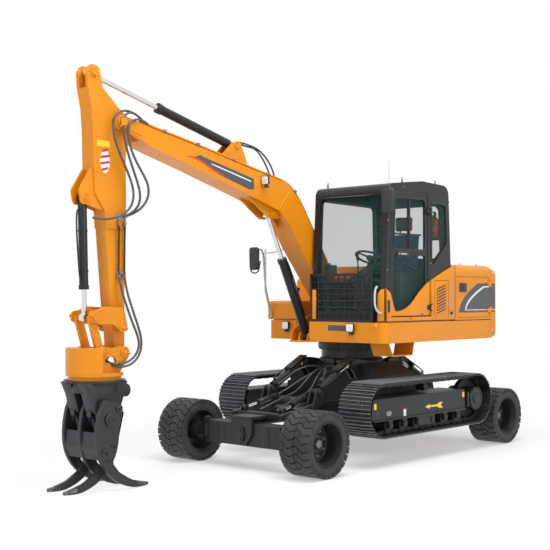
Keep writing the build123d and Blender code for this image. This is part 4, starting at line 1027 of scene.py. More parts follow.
def cushion(name, finish, low, high, cap=0.014, lean=0.0, pinch=0.0):
    """A padded box that swells; lean tilts it about its foot, pinch is the seams' distance."""
    low, high = ([a + b for a, b in zip(SEAT, corner)] for corner in (low, high))
    middle = (Vector(low) + Vector(high)) / 2
    piece = box([v + 0.012 for v in low], [v - 0.012 for v in high], 0.03, 3)
    modify(piece, "REMESH", mode="VOXEL", voxel_size=0.008)
    rest = [vertex.co.copy() for vertex in piece.data.vertices]
    blow_up(piece)
    for vertex, start in zip(piece.data.vertices, rest):
        shift = vertex.co - start
        if shift.length > cap:
            vertex.co = start + shift.normalized() * cap
        if pinch and (vertex.co.x > middle.x or vertex.co.z > middle.z):
            groove = math.exp(-((abs(vertex.co.y - middle.y) - pinch) / 0.012) ** 2)
            vertex.co += (middle - vertex.co).normalized() * 0.009 * groove
    foot = Matrix.Translation((SEAT.x - 0.25, 0, SEAT.z + 0.43))
    piece.data.transform(foot @ Matrix.Rotation(lean, 4, "Y") @ foot.inverted())
    modify(piece, "SUBSURF", levels=1)
    settle(name, "upper", finish, piece, smooth=60)
    return piece


cushions = (
    cushion("seat_cushion", CLOTH, (-0.25, -0.25, 0.345), (0.27, 0.25, 0.475), pinch=0.16),
    cushion(
        "seat_back", CLOTH, (-0.3, -0.24, 0.43), (-0.165, 0.24, 1.08), lean=-0.08, pinch=0.15
    ),
    cushion("seat_headrest", VINYL, (-0.33, -0.14, 1.09), (-0.235, 0.14, 1.3), cap=0.01),
)
print("seat cushions:", [len(piece.data.vertices) for piece in cushions])

# %% [markdown]
# Under them are the seat's box, its pan, two posts for the headrest and two arm rests.

# %% Frame of the seat
box_side = [(-0.40, CAB_FLOOR), (-0.06, CAB_FLOOR), (-0.02, 2.06), (-0.46, 2.06)]
ARM_REST = ((-0.25, 0.255, 2.16), (-0.2, 0.27, 2.34), (-0.02, 0.27, 2.37), (0.1, 0.27, 2.37))
base = [
    plate(box_side, SEAT.y - 0.17, SEAT.y + 0.17, "Y", 0.02),
    box((SEAT.x - 0.27, SEAT.y - 0.25, 2.05), (SEAT.x + 0.25, SEAT.y + 0.25, 2.085), 0.012),
]
for side in (-1, 1):
    y = SEAT.y + side * 0.06
    base.append(drum((SEAT.x - 0.285, y, 2.78), (SEAT.x - 0.29, y, 2.86), 0.008, 12))
    base.append(hose([(SEAT.x + x, SEAT.y + side * y, z) for x, y, z in ARM_REST], 0.018))
settle("seat_frame", "upper", PLASTIC, *base, stands_for=("seat",))

# %% [markdown]
# ## Controls
# Two consoles with levers and gaiters, travel pedals, a steering column and a monitor stand where
# the solids keep room for them.

# %% Consoles, levers and pedals
def gaiter(x, y, z, radius, height, folds=5):
    """A folded rubber boot round a lever's foot."""
    steps = []
    for i in range(folds):
        wide = radius * (1 - 0.6 * i / folds)
        steps += [(wide, height * (i + 0.1) / folds), (wide * 0.86, height * (i + 0.75) / folds)]
    return turned([(0.0, 0.0), *steps, (0.012, height), (0.0, height)], (x, y, z), UPWARD, 20)


CONSOLE = [
    (-0.40, CAB_FLOOR), (0.06, CAB_FLOOR), (0.09, 1.95), (0.1, 2.2), (0.0, 2.285), (-0.38, 2.285),
]
GRIP = [(0.018, 0.0), (0.021, 0.03), (0.017, 0.07), (0.022, 0.1), (0.018, 0.12)]
PEDAL = [(0.38, CAB_FLOOR), (0.52, CAB_FLOOR), (0.53, 1.79), (0.4, 1.765)]
COLUMN = [(0.29, CAB_FLOOR), (0.42, CAB_FLOOR), (0.36, 2.2), (0.25, 2.38), (0.2, 2.36)]
parts = []
for side in (-1, 1):
    y = SEAT.y + side * 0.33
    parts += [
        plate(CONSOLE, y - 0.055, y + 0.055, "Y", 0.018, 3),
        box((-0.38, y - 0.05, 2.275), (-0.08, y + 0.05, 2.30), 0.012, 3),
        gaiter(0.04, y, 2.235, 0.05, 0.06),
        drum((0.04, y, 2.28), (0.045, y, 2.46), 0.009, 12),
        knob(GRIP, (0.045, y, 2.445), (0.08, 0, 1), 20, crown=0.122),
    ]
    parts += [
        drum((x, y + 0.03, 2.298), (x, y + 0.03, 2.306), 0.008, 12) for x in (-0.14, -0.17, -0.2)
    ]
for side in (-1, 1):
    y = SEAT.y + side * 0.1
    parts += [
        plate(PEDAL, y - 0.045, y + 0.045, "Y", 0.008),
        drum((0.41, y, 1.76), (0.38, y, 2.14), 0.0095, 12),
        drum((0.38, y, 2.12), (0.379, y, 2.152), 0.02, 16, 0.016),
    ]
parts += [
    plate(COLUMN, SEAT.y - 0.045, SEAT.y + 0.045, "Y", 0.02, 3),
    box((0.56, -0.005, CAB_FLOOR), (0.6, 0.095, 2.25), 0.01),
    box((0.5, 0.0, 2.24), (0.54, 0.17, 2.38), 0.012, 3),
]
settle("cab_controls", "upper", PLASTIC, *parts, smooth=45, stands_for=("controls",))

# %% [markdown]
# The steering wheel is made flat about the origin, then tilted on its column. Behind the seat
# hangs a fire extinguisher in its strap.

# %% Steering wheel and extinguisher
wheel = [
    torus(0.19, 0.014, (56, 12)),
    knob([(0.045, -0.03), (0.055, 0.0), (0.045, 0.018)], (0, 0, 0), UPWARD, 32, crown=0.022),
]
for i in range(3):
    turn = 2 * math.pi * i / 3 + math.pi / 2
    across = Vector((math.cos(turn), math.sin(turn), 0))
    wheel.append(drum(across * 0.03, across * 0.185, 0.014, 10, 0.009))
spinner = [(0.012, 0.0), (0.02, 0.03), (0.012, 0.045)]
wheel.append(knob(spinner, (0.12, 0.147, 0.01), UPWARD, 16, crown=0.047))
wheel.append(drum((0, 0, -0.14), (0, 0, -0.02), 0.02, 16))
wheel = join("steering_wheel", wheel)
tilt = Matrix.Rotation(math.radians(-24), 4, "Y")
wheel.data.transform(Matrix.Translation((0.21, SEAT.y, 2.47)) @ tilt)
settle("steering_wheel", "upper", PLASTIC, wheel, smooth=45)

BOTTLE_X, BOTTLE_Y = -0.655, 0.86
bottle = [(0.045, 0.0), (0.052, 0.01), (0.052, 0.2), (0.046, 0.235), (0.024, 0.262), (0.018, 0.28)]
bottle = knob(bottle, (BOTTLE_X, BOTTLE_Y, 2.74), UPWARD)
settle("extinguisher", "upper", BOTTLE, bottle, smooth=45)
band = [(0.05, 0.0), (0.055, 0.0), (0.055, 0.022), (0.05, 0.022)]
strap = [turned(band, (BOTTLE_X, BOTTLE_Y, z), UPWARD, 28) for z in (2.79, 2.9)]
strap += [
    knob([(0.017, 0.0), (0.02, 0.03), (0.012, 0.05)], (BOTTLE_X, BOTTLE_Y, 3.02), UPWARD, 16),
    box((-0.66, 0.85, 3.065), (-0.60, 0.87, 3.08), 0.003),
    hose([(-0.64, 0.86, 3.04), (-0.585, 0.86, 3.03), (-0.585, 0.86, 2.9), (-0.592, 0.86, 2.82)],
         0.008),
    box((-0.695, 0.83, 2.72), (-0.675, 0.89, 2.98), 0.003),
    box((-0.7, 0.78, 2.71), (-0.6, 0.94, 2.74), 0.006),
]
settle("extinguisher_strap", "upper", PLASTIC, *strap, smooth=45)
print("cab fitted")

# %% [markdown]
# ## Cab outside
# Each pane sits in a rubber seal. A seal is a plate on the pane's outline with a smaller one cut
# out of its middle, and the corners of both are drawn as arcs.

# %% Seals of the panes
def rounded(points, radius, steps=5):
    """The outline with each corner turned into an arc."""
    line = []
    for i, corner in enumerate(points):
        corner = Vector(corner)
        before = Vector(points[i - 1]) - corner
        after = Vector(points[(i + 1) % len(points)]) - corner
        reach = min(radius, before.length * 0.45, after.length * 0.45)
        start, end = corner + before.normalized() * reach, corner + after.normalized() * reach
        for k in range(steps + 1):
            t = k / steps
            line.append(tuple((1 - t) ** 2 * start + 2 * t * (1 - t) * corner + t * t * end))
    return line


def pane_seal(points, y_low, y_high, width):
    """A flat closed frame along an outline."""
    middle = Vector([sum(v) / len(points) for v in zip(*points)])
    outer = plate(points, y_low, y_high)
    inside = []
    for u, v in points:
        away = Vector((u, v)) - middle
        inside.append((u - math.copysign(width, away.x), v - math.copysign(width, away.y)))
    inner = plate(inside, y_low - 0.01, y_high + 0.01)
    modify(outer, "BOOLEAN", operation="DIFFERENCE", solver="EXACT", object=inner)
    bpy.data.objects.remove(inner)
    return tidy(outer)


WINDOW = [(0.512, 2.548), (0.482, 3.192), (-0.182, 3.207), (-0.182, 2.548)]
DOOR = [(0.584, 1.76), (0.584, 2.2), (0.524, 3.25), (-0.238, 3.272), (-0.238, 1.76)]
QUARTER = [(-0.29, 2.34), (-0.29, 3.19), (-0.645, 3.162), (-0.668, 2.635)]
FAR_SIDE = [(0.572, 2.14), (0.522, 3.21), (-0.61, 3.19), (-0.632, 2.44), (0.0, 2.14)]
settle(
    "door_seals", "cab_door_body", SEAL_AND_SLOT_SHADE,
    pane_seal(rounded(WINDOW, 0.06), 1.03, 1.042, 0.02),
    box((0.148, 1.012, 2.56), (0.172, 1.036, 3.186), 0.004),
    box((0.19, 1.012, 2.56), (0.196, 1.03, 3.185), 0.002),
    pane_seal(rounded(DOOR, 0.07), 1.034, 1.043, 0.016),
)
settle(
    "window_seals", "upper", SEAL_AND_SLOT_SHADE,
    pane_seal(rounded(QUARTER, 0.05), 1.036, 1.046, 0.022),
    pane_seal(rounded(FAR_SIDE, 0.06), -0.101, -0.091, 0.022),
)

# %% [markdown]
# The door has a handle on its plate and a rail inside. Screws hold the cab's panels, and eyes and
# an antenna stand on its roof.

# %% Handle, rail, screws and roof
handle_plate = box((0.2, 1.034, 2.47), (0.44, 1.048, 2.538), 0.008, 3)
settle("handle_plate", "cab_door_body", PLASTIC, handle_plate)
settle(
    "door_handle", "cab_door_body", CHROME,
    box((0.25, 1.047, 2.494), (0.37, 1.058, 2.51), 0.005, 3),
    drum((0.405, 1.047, 2.503), (0.405, 1.054, 2.503), 0.011, 16),
)
RAIL = ((0.49, 1.0), (0.48, 0.975), (0.3, 0.97), (-0.1, 0.97), (-0.13, 1.0))
settle("door_rail", "cab_door_body", PLASTIC, hose([(x, y, 2.75) for x, y in RAIL], 0.011))

SCREWS = (
    (0.3, 3.32), (-0.28, 3.1), (-0.28, 2.4), (0.62, 2.9), (0.64, 2.3), (-0.7, 3.2), (-0.72, 2.5),
)
screws = [bolt((x, 1.04, z), (0, 1, 0), 0.009, 0.008) for x, z in SCREWS]
settle("cab_screws", "upper", BOLT_STEEL, *screws)

EYE_FOOT = [(0.028, 0.0), (0.022, 0.02), (0.012, 0.03), (0.012, 0.06)]
EYE_PLACES = (
    (0.133, 0.9, 3.352), (-0.597, 0.9, 3.372), (0.45, -0.02, 3.32), (-0.597, -0.02, 3.372),
)
roof = []
for x, y, z in EYE_PLACES:
    roof.append(knob(EYE_FOOT, (x, y, z), UPWARD, 20))
    roof.append(torus(0.024, 0.008, (24, 10), (x, y, z + 0.078), (math.pi / 2, 0, 0.6)))
settle("roof_eyes", "upper", BOLT_STEEL, *roof, smooth=50)
settle(
    "antenna", "upper", PALE,
    knob([(0.03, 0.0), (0.025, 0.035), (0.01, 0.06)], (-0.147, 0.5, 3.41), UPWARD, 24),
    drum((-0.147, 0.5, 3.46), (-0.147, 0.5, 3.73), 0.0055, 10, 0.003),
)

# %% [markdown]
# The left mirror hangs on two bent arms, and the right one on a pole wound with tape. A mirror's
# head is a rounded plate with a thin plate of polished finish in front.

# %% Mirrors
ARMS = (
    ([(0.612, 1.02, 3.30), (0.64, 1.1, 3.30), (0.68, 1.12, 3.24), (0.72, 1.12, 3.1),
      (0.70, 1.12, 2.98)], 0.012),
    ([(0.64, 1.02, 3.02), (0.68, 1.09, 3.02), (0.70, 1.12, 3.05)], 0.01),
)
settle("mirror_left_arm", "upper", PLASTIC, *(hose(*arm) for arm in ARMS), smooth=50)
left_head = rounded([(1.03, 2.97), (1.19, 2.97), (1.2, 3.26), (1.02, 3.26)], 0.045)
settle("mirror_left", "upper", PLASTIC, plate(left_head, 0.70, 0.735, "X", 0.012, 3), smooth=50)
left_face = rounded([(1.042, 2.985), (1.178, 2.985), (1.186, 3.245), (1.034, 3.245)], 0.038)
left_face = plate(left_face, 0.697, 0.7005, "X", 0.001)
settle("mirror_left_glass", "upper", MIRROR_GLASS, left_face, smooth=50)

POLE_Y = -1.0
TAPE = [(0.0115, -0.007), (0.016, 0.0), (0.0115, 0.007)]
pole = []
for i in range(44):
    z = 1.74 + 0.02 * i
    x = 0.447 + 0.113 * min(1.0, (z - 1.72) / 0.34)
    pole.append(turned(TAPE, (x, POLE_Y, z), (0.1, 0, 1), 14))
POLE = (
    (0.445, 1.7), (0.445, 1.78), (0.56, 2.05), (0.575, 2.3), (0.6, 2.58), (0.64, 2.62), (0.76, 2.6),
)
STAY = ((0.62, POLE_Y, 2.56), (0.6, -0.9, 2.55), (0.62, -0.7, 2.57), (0.64, -0.6, 2.59))
pole += [hose([(x, POLE_Y, z) for x, z in POLE], 0.0125), hose(STAY, 0.008)]
settle("mirror_pole", "upper", PALE, *pole, smooth=50)

right_head = rounded([(-1.07, 2.33), (-0.925, 2.33), (-0.915, 2.63), (-1.08, 2.63)], 0.05)
BOW = ((-1.06, 2.36), (-1.05, 2.29), (-0.95, 2.28), (-0.9, 2.32), (-0.885, 2.45))
settle(
    "mirror_right", "upper", PLASTIC,
    plate(right_head, 0.755, 0.8, "X", 0.016, 3),
    hose([(0.785, y, z) for y, z in BOW], 0.009),
    box((0.74, -1.03, 2.45), (0.78, -0.965, 2.62), 0.008),
    smooth=50, stands_for=("mirror",),
)
right_face = rounded([(-1.06, 2.345), (-0.935, 2.345), (-0.926, 2.615), (-1.07, 2.615)], 0.045)
right_face = plate(right_face, 0.752, 0.7555, "X", 0.001)
settle("mirror_right_glass", "upper", MIRROR_GLASS, right_face, smooth=50)

# %% [markdown]
# The screen guard is filled with two layers of thin wire. A bent grip stands beside it.

# %% Guard mesh and grip
wires = [drum((0.704, 0.02, z), (0.704, 0.86, z), 0.0032, 8)
         for z in (1.72 + 0.0435 * i for i in range(13))]
wires += [drum((0.704, y, 1.70), (0.704, y, 2.245), 0.0032, 8)
          for y in (0.03 + 0.0432 * i for i in range(20))]
settle("guard_mesh", "upper", PLASTIC, *wires, smooth=50)
grip = hose([
    (0.69, 0.93, 2.1), (0.725, 0.925, 2.09), (0.728, 0.92, 1.96), (0.728, 0.925, 1.84),
    (0.715, 0.97, 1.79), (0.69, 1.0, 1.785),
], 0.013)
settle("front_grip", "upper", PALE, grip, smooth=50)
print("outside of the cab fitted")

# %% [markdown]
# ## Deck front
# Work lamps in their brackets, a blank plate and a few plugs sit on the front of the deck. One
# lamp is made facing up at the origin, and each copy is turned the way it looks.

# %% Lamps, plate and plugs
HALF_LAMP, LAMP_DEPTH = 0.052, 0.05


def work_lamp(at, facing):
    """A square lamp with ribs behind, a rim and a lens, looking along facing."""
    s, d = HALF_LAMP, LAMP_DEPTH
    profile = rounded(rectangle(-s, -s, s, s), 0.018)
    body = [plate(profile, -d * 0.5, 0.0, "Z", 0.004)]
    for i in range(4):
        low, high = s * (0.4 * i - 0.6), s * (0.4 * i - 0.52)
        body.append(box((-s * 0.8, low, -d), (s * 0.8, high, -d * 0.45)))
    body.append(box((-s * 0.25, -s * 1.5, -d * 0.6), (s * 0.25, -s * 0.8, -d * 0.2), 0.003))
    lens = plate([(u * 0.86, v * 0.86) for u, v in profile], -0.002, 0.003, "Z", 0.001)
    housing = join("housing", body)
    for piece in (housing, lens):
        piece.data.transform(Matrix.Translation(at) @ standing(facing))
    return housing, lens


LAMP_PLACES = (
    ("deck_left", "upper", (0.785, 0.585, 1.607), (1, 0.15, 0)),
    ("deck_right", "upper", (0.485, -0.72, 1.607), (1, 0.1, 0)),
    ("boom", "boom_body", (1.578, -0.0725, 3.375), (1, 0.12, -0.1)),
)
for name, body, (x, y, z), facing in LAMP_PLACES:
    housing, lens = work_lamp((x, y, z), facing)
    bracket = box((x - 0.06, y - 0.02, z - 0.085), (x - 0.01, y + 0.02, z - 0.06), 0.003)
    settle("lamp_" + name, body, PLASTIC, housing, bracket)
    settle("lens_" + name, body, LENS, lens)
deck_plate = box((0.729, 0.21, 1.567), (0.734, 0.52, 1.634), 0.002)
settle("deck_plate", "upper", FILM_GREY, deck_plate)
PLUG = [(0.045, 0.0), (0.045, 0.008), (0.03, 0.014)]
plug = knob(PLUG, (0.722, 0.94, 1.624), (1, 0.25, 0), crown=0.015)
settle("deck_plug", "upper", YELLOW, plug)
settle("guard_post", "upper", YELLOW, box((0.70, -0.06, 1.70), (0.722, 0.0, 2.07), 0.008))
print("deck front fitted")

# %% [markdown]
# ## Undercarriage
# The frame carries pins with keeper plates and a ring of bolts under the slew ring. A keeper is a
# small tab that one bolt holds across the pin's end, so that the pin can't turn or walk out.

# %% Pins and bolts of the frame
def keeper(x, y, z, out, radius):
    """A pin's end with its keeper plate and bolt."""
    end = [(radius, 0.0), (radius, 0.006), (radius - 0.005, 0.012)]
    face = y + out * 0.008
    return join("keeper", [
        knob(end, (x, y, z), (0, out, 0)),
        box((x - 0.012, y, z - radius * 1.7), (x + 0.012, face, z), 0.002),
        bolt((x, face, z - radius * 1.35), (0, out, 0), 0.008, 0.007),
    ])


ARM_Y = 0.375
LIFT_LOW, LIFT_HIGH = Vector((1.158, 0, 0.847)), Vector((0.5, 0, 1.165))
ENDS = ((1, "front"), (-1, "rear"))
for end, place in ENDS:
    high, low = [], []
    for side in (-1, 1):
        for out in (-1, 1):
            y = side * ARM_Y + out * 0.057
            high.append(keeper(end * LIFT_HIGH.x, y, LIFT_HIGH.z, out, 0.036))
            y = side * ARM_Y + out * 0.0648
            low.append(keeper(end * LIFT_LOW.x, y, LIFT_LOW.z, out, 0.034))
    settle("pins_high_" + place, "undercarriage", CAST_GREY, *high)
    settle("pins_low_" + place, place + "_arms", CAST_GREY, *low)

under_ring = ring_of(bolt((0.408, 0, 1.33), (0, 0, -1), 0.013, 0.022), 30, (0, 0, 0), "Z")
RING = [(0.384, 0.0), (0.425, 0.0), (0.425, 0.018), (0.402, 0.05), (0.384, 0.06)]
ring = turned(RING, (0, 0, 1.15), UPWARD, 72)
settle("ring_bolts", "undercarriage", CAST_GREY, under_ring, ring)

# %% [markdown]
# Each lift cylinder wears two ribbed collars and a steel pipe between its two ports. The collars
# are hollow, so that the rod can pass through them.

# %% Collars and pipes of the lift cylinders
PORT = [(0.018, 0.0), (0.018, 0.02), (0.012, 0.022), (0.012, 0.04)]
PIPE = ((0.13, 0.085), (0.15, 0.1), (0.25, 0.098), (0.35, 0.1), (0.37, 0.085))


def ribbed(start, direction, radius, length, ribs):
    """A cylinder's ribbed collar."""
    wide = length / ribs
    profile = [(radius - 0.008, 0.0)]
    for i in range(ribs):
        profile += [
            (radius, (i + 0.1) * wide), (radius, (i + 0.55) * wide),
            (radius - 0.004, (i + 0.6) * wide), (radius - 0.004, (i + 0.95) * wide),
        ]
    return turned(profile + [(radius - 0.008, length)], start, direction, 36)


for end, place in ENDS:
    up = Vector((end * 0.435, 0, 0.9)).normalized()
    pieces = []
    for side in (-1, 1):
        low = Vector((end * LIFT_LOW.x, side * ARM_Y, LIFT_LOW.z))
        high = Vector((end * LIFT_HIGH.x, side * ARM_Y, LIFT_HIGH.z))
        run = (high - low).normalized()
        pieces.append(ribbed(low + run * 0.062, run, 0.0565, 0.05, 3))
        pieces.append(ribbed(low + run * 0.395, run, 0.0575, 0.062, 3))
        pieces += [knob(PORT, low + run * along + up * 0.05, up, 12) for along in (0.13, 0.37)]
        aside = Vector((0, -side * 0.012, 0))
        pieces.append(hose([low + run * along + up * off + aside for along, off in PIPE], 0.008))
    settle("lift_collars_" + place, place + "_barrels", BLACK, *pieces)

# %% [markdown]
# A valve block under the slew ring feeds the front axle through six hoses. The left three are
# mirrored for the right side.

# %% Valve block and its hoses
FITTING = [(0.015, 0.0), (0.015, 0.02), (0.011, 0.022), (0.011, 0.045)]
block = [
    box((0.385, -0.11, 1.0), (0.46, 0.11, 1.12), 0.008),
    box((0.40, -0.07, 1.12), (0.45, 0.07, 1.2), 0.006),
]
block += [knob(FITTING, (0.46, -0.09 + 0.036 * i, 1.08), (1, 0, 0.25), 12) for i in range(6)]
settle("valve_block", "undercarriage", CAST_GREY, *block)

FRAME_HOSES = (
    ("lift_hose_{}", 0.009, [
        (0.50, 0.09, 1.09), (0.62, 0.1, 1.13), (0.78, 0.2, 1.1), (0.9, 0.28, 1.0),
        (1.0, 0.31, 0.93), (1.06, 0.33, 0.90)]),
    ("lift_hose_{}_low", 0.009, [
        (0.50, 0.055, 1.09), (0.6, 0.06, 1.06), (0.76, 0.16, 0.98), (0.92, 0.24, 0.86),
        (1.04, 0.29, 0.8), (1.13, 0.3, 0.76)]),
    ("steer_hose_{}", 0.0085, [
        (0.50, 0.02, 1.09), (0.6, 0.03, 1.1), (0.75, 0.06, 1.02), (0.9, 0.09, 0.86),
        (1.05, 0.1, 0.79), (1.2, 0.1, 0.77), (1.4, 0.11, 0.7), (1.6, 0.13, 0.645)]),
)
for side, place in ((1, "left"), (-1, "right")):
    for name, radius, points in FRAME_HOSES:
        points = [(x, side * y, z) for x, y, z in points]
        bending_hose(name.format(place), "undercarriage", points, radius, 1, -2)

# %% [markdown]
# Two small cylinders lock the rocking axle. Each has an eye between two welded ears at both ends.

# %% Axle locks, pin plate and kingpin caps
EAR_FOOT = ((-0.05, 0.72), (0.03, 0.72), (0.02, 0.80), (-0.03, 0.80))
EAR_EYE = ((-0.05, 0.62), (0.05, 0.62), (0.02, 0.69), (-0.03, 0.69))
SLEEVE = [(0.016, -0.02), (0.034, -0.02), (0.034, 0.02), (0.016, 0.02)]


def ears(shape, at, apart):
    """Two plates on either side of a point."""
    points = [(at.x + x, z) for x, z in shape]
    middles = [at.y + out * apart for out in (-1, 1)]
    return [plate(points, y - 0.006, y + 0.006, "Y", 0.003) for y in middles]


locks, rods = [], []
for side in (-1, 1):
    foot, eye = Vector((1.22, side * 0.24, 0.765)), Vector((1.68, side * 0.3, 0.66))
    run = (eye - foot).normalized()
    locks += [
        drum(foot, foot + run * 0.26, 0.032, 24, edge=0.003),
        ribbed(foot + run * 0.25, run, 0.035, 0.03, 2),
        turned(SLEEVE, foot - run * 0.01, (0, 1, 0), 24),
        knob([(0.03, -0.018), (0.03, 0.018)], eye, (0, 1, 0), 24),
        *ears(EAR_FOOT, foot, 0.03), *ears(EAR_EYE, eye, 0.028),
    ]
    rods.append(drum(foot + run * 0.27, eye - run * 0.02, 0.014, 20))
settle("axle_locks", "front_arms", BLACK, *locks)
settle("axle_lock_rods", "front_arms", CHROME, *rods)

settle(
    "axle_pin_plate", "front_arms", FRAME_GREY,
    plate(rounded(rectangle(-0.045, 0.315, 0.045, 0.485), 0.045), 2.0735, 2.08, "X", 0.002),
    bolt((2.08, 0, 0.445), (1, 0, 0), 0.014, 0.012),
    bolt((2.08, 0, 0.355), (1, 0, 0), 0.014, 0.012),
    box((2.0555, -0.155, 0.585), (2.066, 0.155, 0.606), 0.004),
)
KINGPIN = [(0.046, 0.0), (0.046, 0.008), (0.03, 0.016)]
caps = []
for side in (-1, 1):
    for z, up in ((0.532, 1), (0.253, -1)):
        caps.append(knob(KINGPIN, (WHEEL_X, side * 0.7, z), (0, 0, up), crown=0.017))
    y = side * 0.35
    caps.append(box((WHEEL_X + 0.108, y - 0.06, 0.29), (WHEEL_X + 0.114, y + 0.06, 0.5), 0.003))
settle("kingpin_caps", "front_arms", FRAME_GREY, *caps)
print("undercarriage fitted")

# %% [markdown]
# ## Track frames
# Roller caps, the final drive's cover, the idler's slot and small plates sit on the track frames'
# outer faces. The idler's slot is a near-black plate of painted shade. The plates are bare.

# %% Rollers, drives and plates
FACE = 1.17
ROLLER_Z = 0.4733
ROLLER_CAP = [(0.04, 0.0), (0.038, 0.008), (0.02, 0.012)]
FLANGE = [(0.06, 0.0), (0.074, 0.002), (0.074, 0.016), (0.06, 0.018)]
DRIVE_COVER = [
    (0.148, 0.0), (0.148, 0.004), (0.14, 0.012), (0.118, 0.013), (0.112, 0.008), (0.07, 0.008),
    (0.064, 0.02),
]
GUARD = [(-0.905, 0.56)] + [
    (SPROCKET_X + 0.19 * math.cos(a), LOOP_Z + 0.19 * math.sin(a))
    for a in (math.radians(5 * i - 25) for i in range(11))
] + [(-0.905, 0.765)]
LOWER_LIP = [(-0.85, 0.54), (1.1, 0.54), (1.11, 0.556), (-0.85, 0.556)]
UPPER_LIP = [(-0.84, 0.79), (1.08, 0.79), (1.075, 0.801), (-0.84, 0.801)]
for place, side in (("left", 1), ("right", -1)):
    caps = []
    for x in (0.29 * step - 0.7 for step in range(6)):
        caps.append(knob(ROLLER_CAP, (x, side * 1.168, ROLLER_Z), (0, side, 0), 20))
        for out in (-1, 1):
            y = side * TRACK_Y + out * 0.13
            caps.append(turned(FLANGE, (x, y, ROLLER_Z), (0, out, 0), 28))
    drive_bolt = bolt((SPROCKET_X, side * 1.178, LOOP_Z + 0.13), (0, side, 0), 0.008, 0.008)
    caps += [
        knob(DRIVE_COVER, (SPROCKET_X, side * 1.169, LOOP_Z), (0, side, 0), 56, crown=0.022),
        ring_of(drive_bolt, 12, (SPROCKET_X, 0, LOOP_Z), "Y"),
        plate(GUARD, side * 1.15, side * (FACE + 0.012), "Y", 0.002),
        plate(LOWER_LIP, side * 1.165, side * 1.195, "Y", 0.003),
        plate(UPPER_LIP, side * 1.16, side * 1.178, "Y", 0.003),
    ]
    settle("track_caps_" + place, "undercarriage", FRAME_GREY, *caps, smooth=35)
    # A thin near-black plate paints the shade in the idler's slot.
    slot = box((0.985, side * FACE, 0.6), (1.055, side * (FACE + 0.002), 0.668), 0.0008)
    settle("track_slot_shade_" + place, "undercarriage", SEAL_AND_SLOT_SHADE, slot)

# %% [markdown]
# The left frame also carries an oval badge without any mark, a white and red plate, and an arrow
# that points to the front.

# %% Plates of the left track frame
def on_frame(points, layer=0.0, thick=0.001):
    return plate(points, FACE + layer, FACE + layer + thick)


oval = [
    (0.787 + 0.052 * math.cos(a), 0.621 + 0.03 * math.sin(a))
    for a in (2 * math.pi * i / 28 for i in range(28))
]
ARROW = [
    (0.045, 0.64), (-0.06, 0.672), (-0.045, 0.652), (-0.22, 0.652), (-0.27, 0.676),
    (-0.352, 0.676), (-0.30, 0.64), (-0.352, 0.604), (-0.27, 0.604), (-0.22, 0.628),
    (-0.045, 0.628), (-0.06, 0.608),
]
oval = plate(oval, FACE, FACE + 0.002, "Y", 0.0006)
settle("track_oval", "undercarriage", BOLT_STEEL, oval)
white = on_frame(rectangle(0.44, 0.565, 0.495, 0.66))
settle("track_plate_white", "undercarriage", FILM_WHITE, white)
red = on_frame(rectangle(0.44, 0.642, 0.495, 0.66), 0.001, 0.0005)
settle("track_plate_red", "undercarriage", FILM_RED, red)
settle(
    "track_arrow", "undercarriage", FILM_YELLOW,
    on_frame(rectangle(1.03, 0.685, 1.075, 0.75)),
    on_frame(rectangle(-0.845, 0.70, -0.80, 0.765)),
    on_frame(ARROW),
)
print("track frames fitted")

# %% [markdown]
# ## Wheel discs
# Studs round each disc, a ring of small bolts, a hub cap and the rim's lip.

# %% Studs and hubs
HUB_CAP = [(0.05, 0.0), (0.05, 0.01), (0.042, 0.02), (0.02, 0.024)]
RIM_LIP = [(0.236, 0.0), (0.246, 0.0), (0.25, 0.008), (0.246, 0.016), (0.236, 0.012)]
for place, x, side, body in WHEELS:
    def on_disc(outward, up=0.0):
        return (x, side * (WHEEL_Y + outward), WHEEL_Z + up)

    centre, out = on_disc(0), (0, side, 0)
    studs = ring_of(bolt(on_disc(-0.004, 0.148), out, 0.015, 0.026), 8, centre, "Y", 0.3)
    small = ring_of(bolt(on_disc(0.031, 0.084), out, 0.007, 0.009), 10, centre, "Y")
    cap = knob(HUB_CAP, on_disc(0.049), out, 32)
    settle("studs_" + place, body, BOLT_STEEL, studs, small, cap)
    settle("rim_lip_" + place, body, FRAME_GREY, turned(RIM_LIP, on_disc(0.182), out, 72))
print("wheels fitted")

# %% [markdown]
# ## Boom and stick
# Steel pipes run along the boom's top edge under clamps, then turn into rubber hoses at each
# joint. A pipe keeps its distance from the edge: each of its points is the edge's, moved out
# square to the run.

# %% Pipes, clamps and welds of the boom
STAND_OFF = 0.026


def clamp(at, across, up, width=0.05):
    """A two-bolt saddle over a pair of pipes."""
    across, up = Vector(across).normalized(), Vector(up).normalized()
    base = box((-0.018, -width, -0.016), (0.018, width, 0.014), 0.004)
    turn = Matrix((across.cross(up).normalized(), across, up)).transposed().to_4x4()
    base.data.transform(Matrix.Translation(at) @ turn)
    return join("clamp", [base, bolt(Vector(at) + up * 0.014, up, 0.008, 0.008)])


BOOM_EDGE = [
    (3.45, 3.845), (3.3, 3.8), (3.12, 3.77), (2.55, 3.665), (1.75, 3.5), (1.45, 3.44),
    (1.1, 3.38), (1.0, 3.30), (0.86, 3.18), (0.68, 2.92), (0.5, 2.66), (0.33, 2.42), (0.12, 2.13),
]
pipes = []
for lane, y in enumerate((-0.152, -0.186, -0.374, -0.408)):
    run = BOOM_EDGE if lane % 2 else BOOM_EDGE[:-1]
    line = []
    for i, (x, z) in enumerate(run):
        before, after = run[max(0, i - 1)], run[min(len(run) - 1, i + 1)]
        rise = Vector((after[0] - before[0], 0, after[1] - before[1])).normalized()
        line.append(Vector((x, y, z)) + Vector((rise.z, 0, -rise.x)) * STAND_OFF)
    pipes.append(hose(line, 0.011, 12))
settle("boom_pipes", "boom_body", YELLOW_ARM, *pipes, smooth=60)

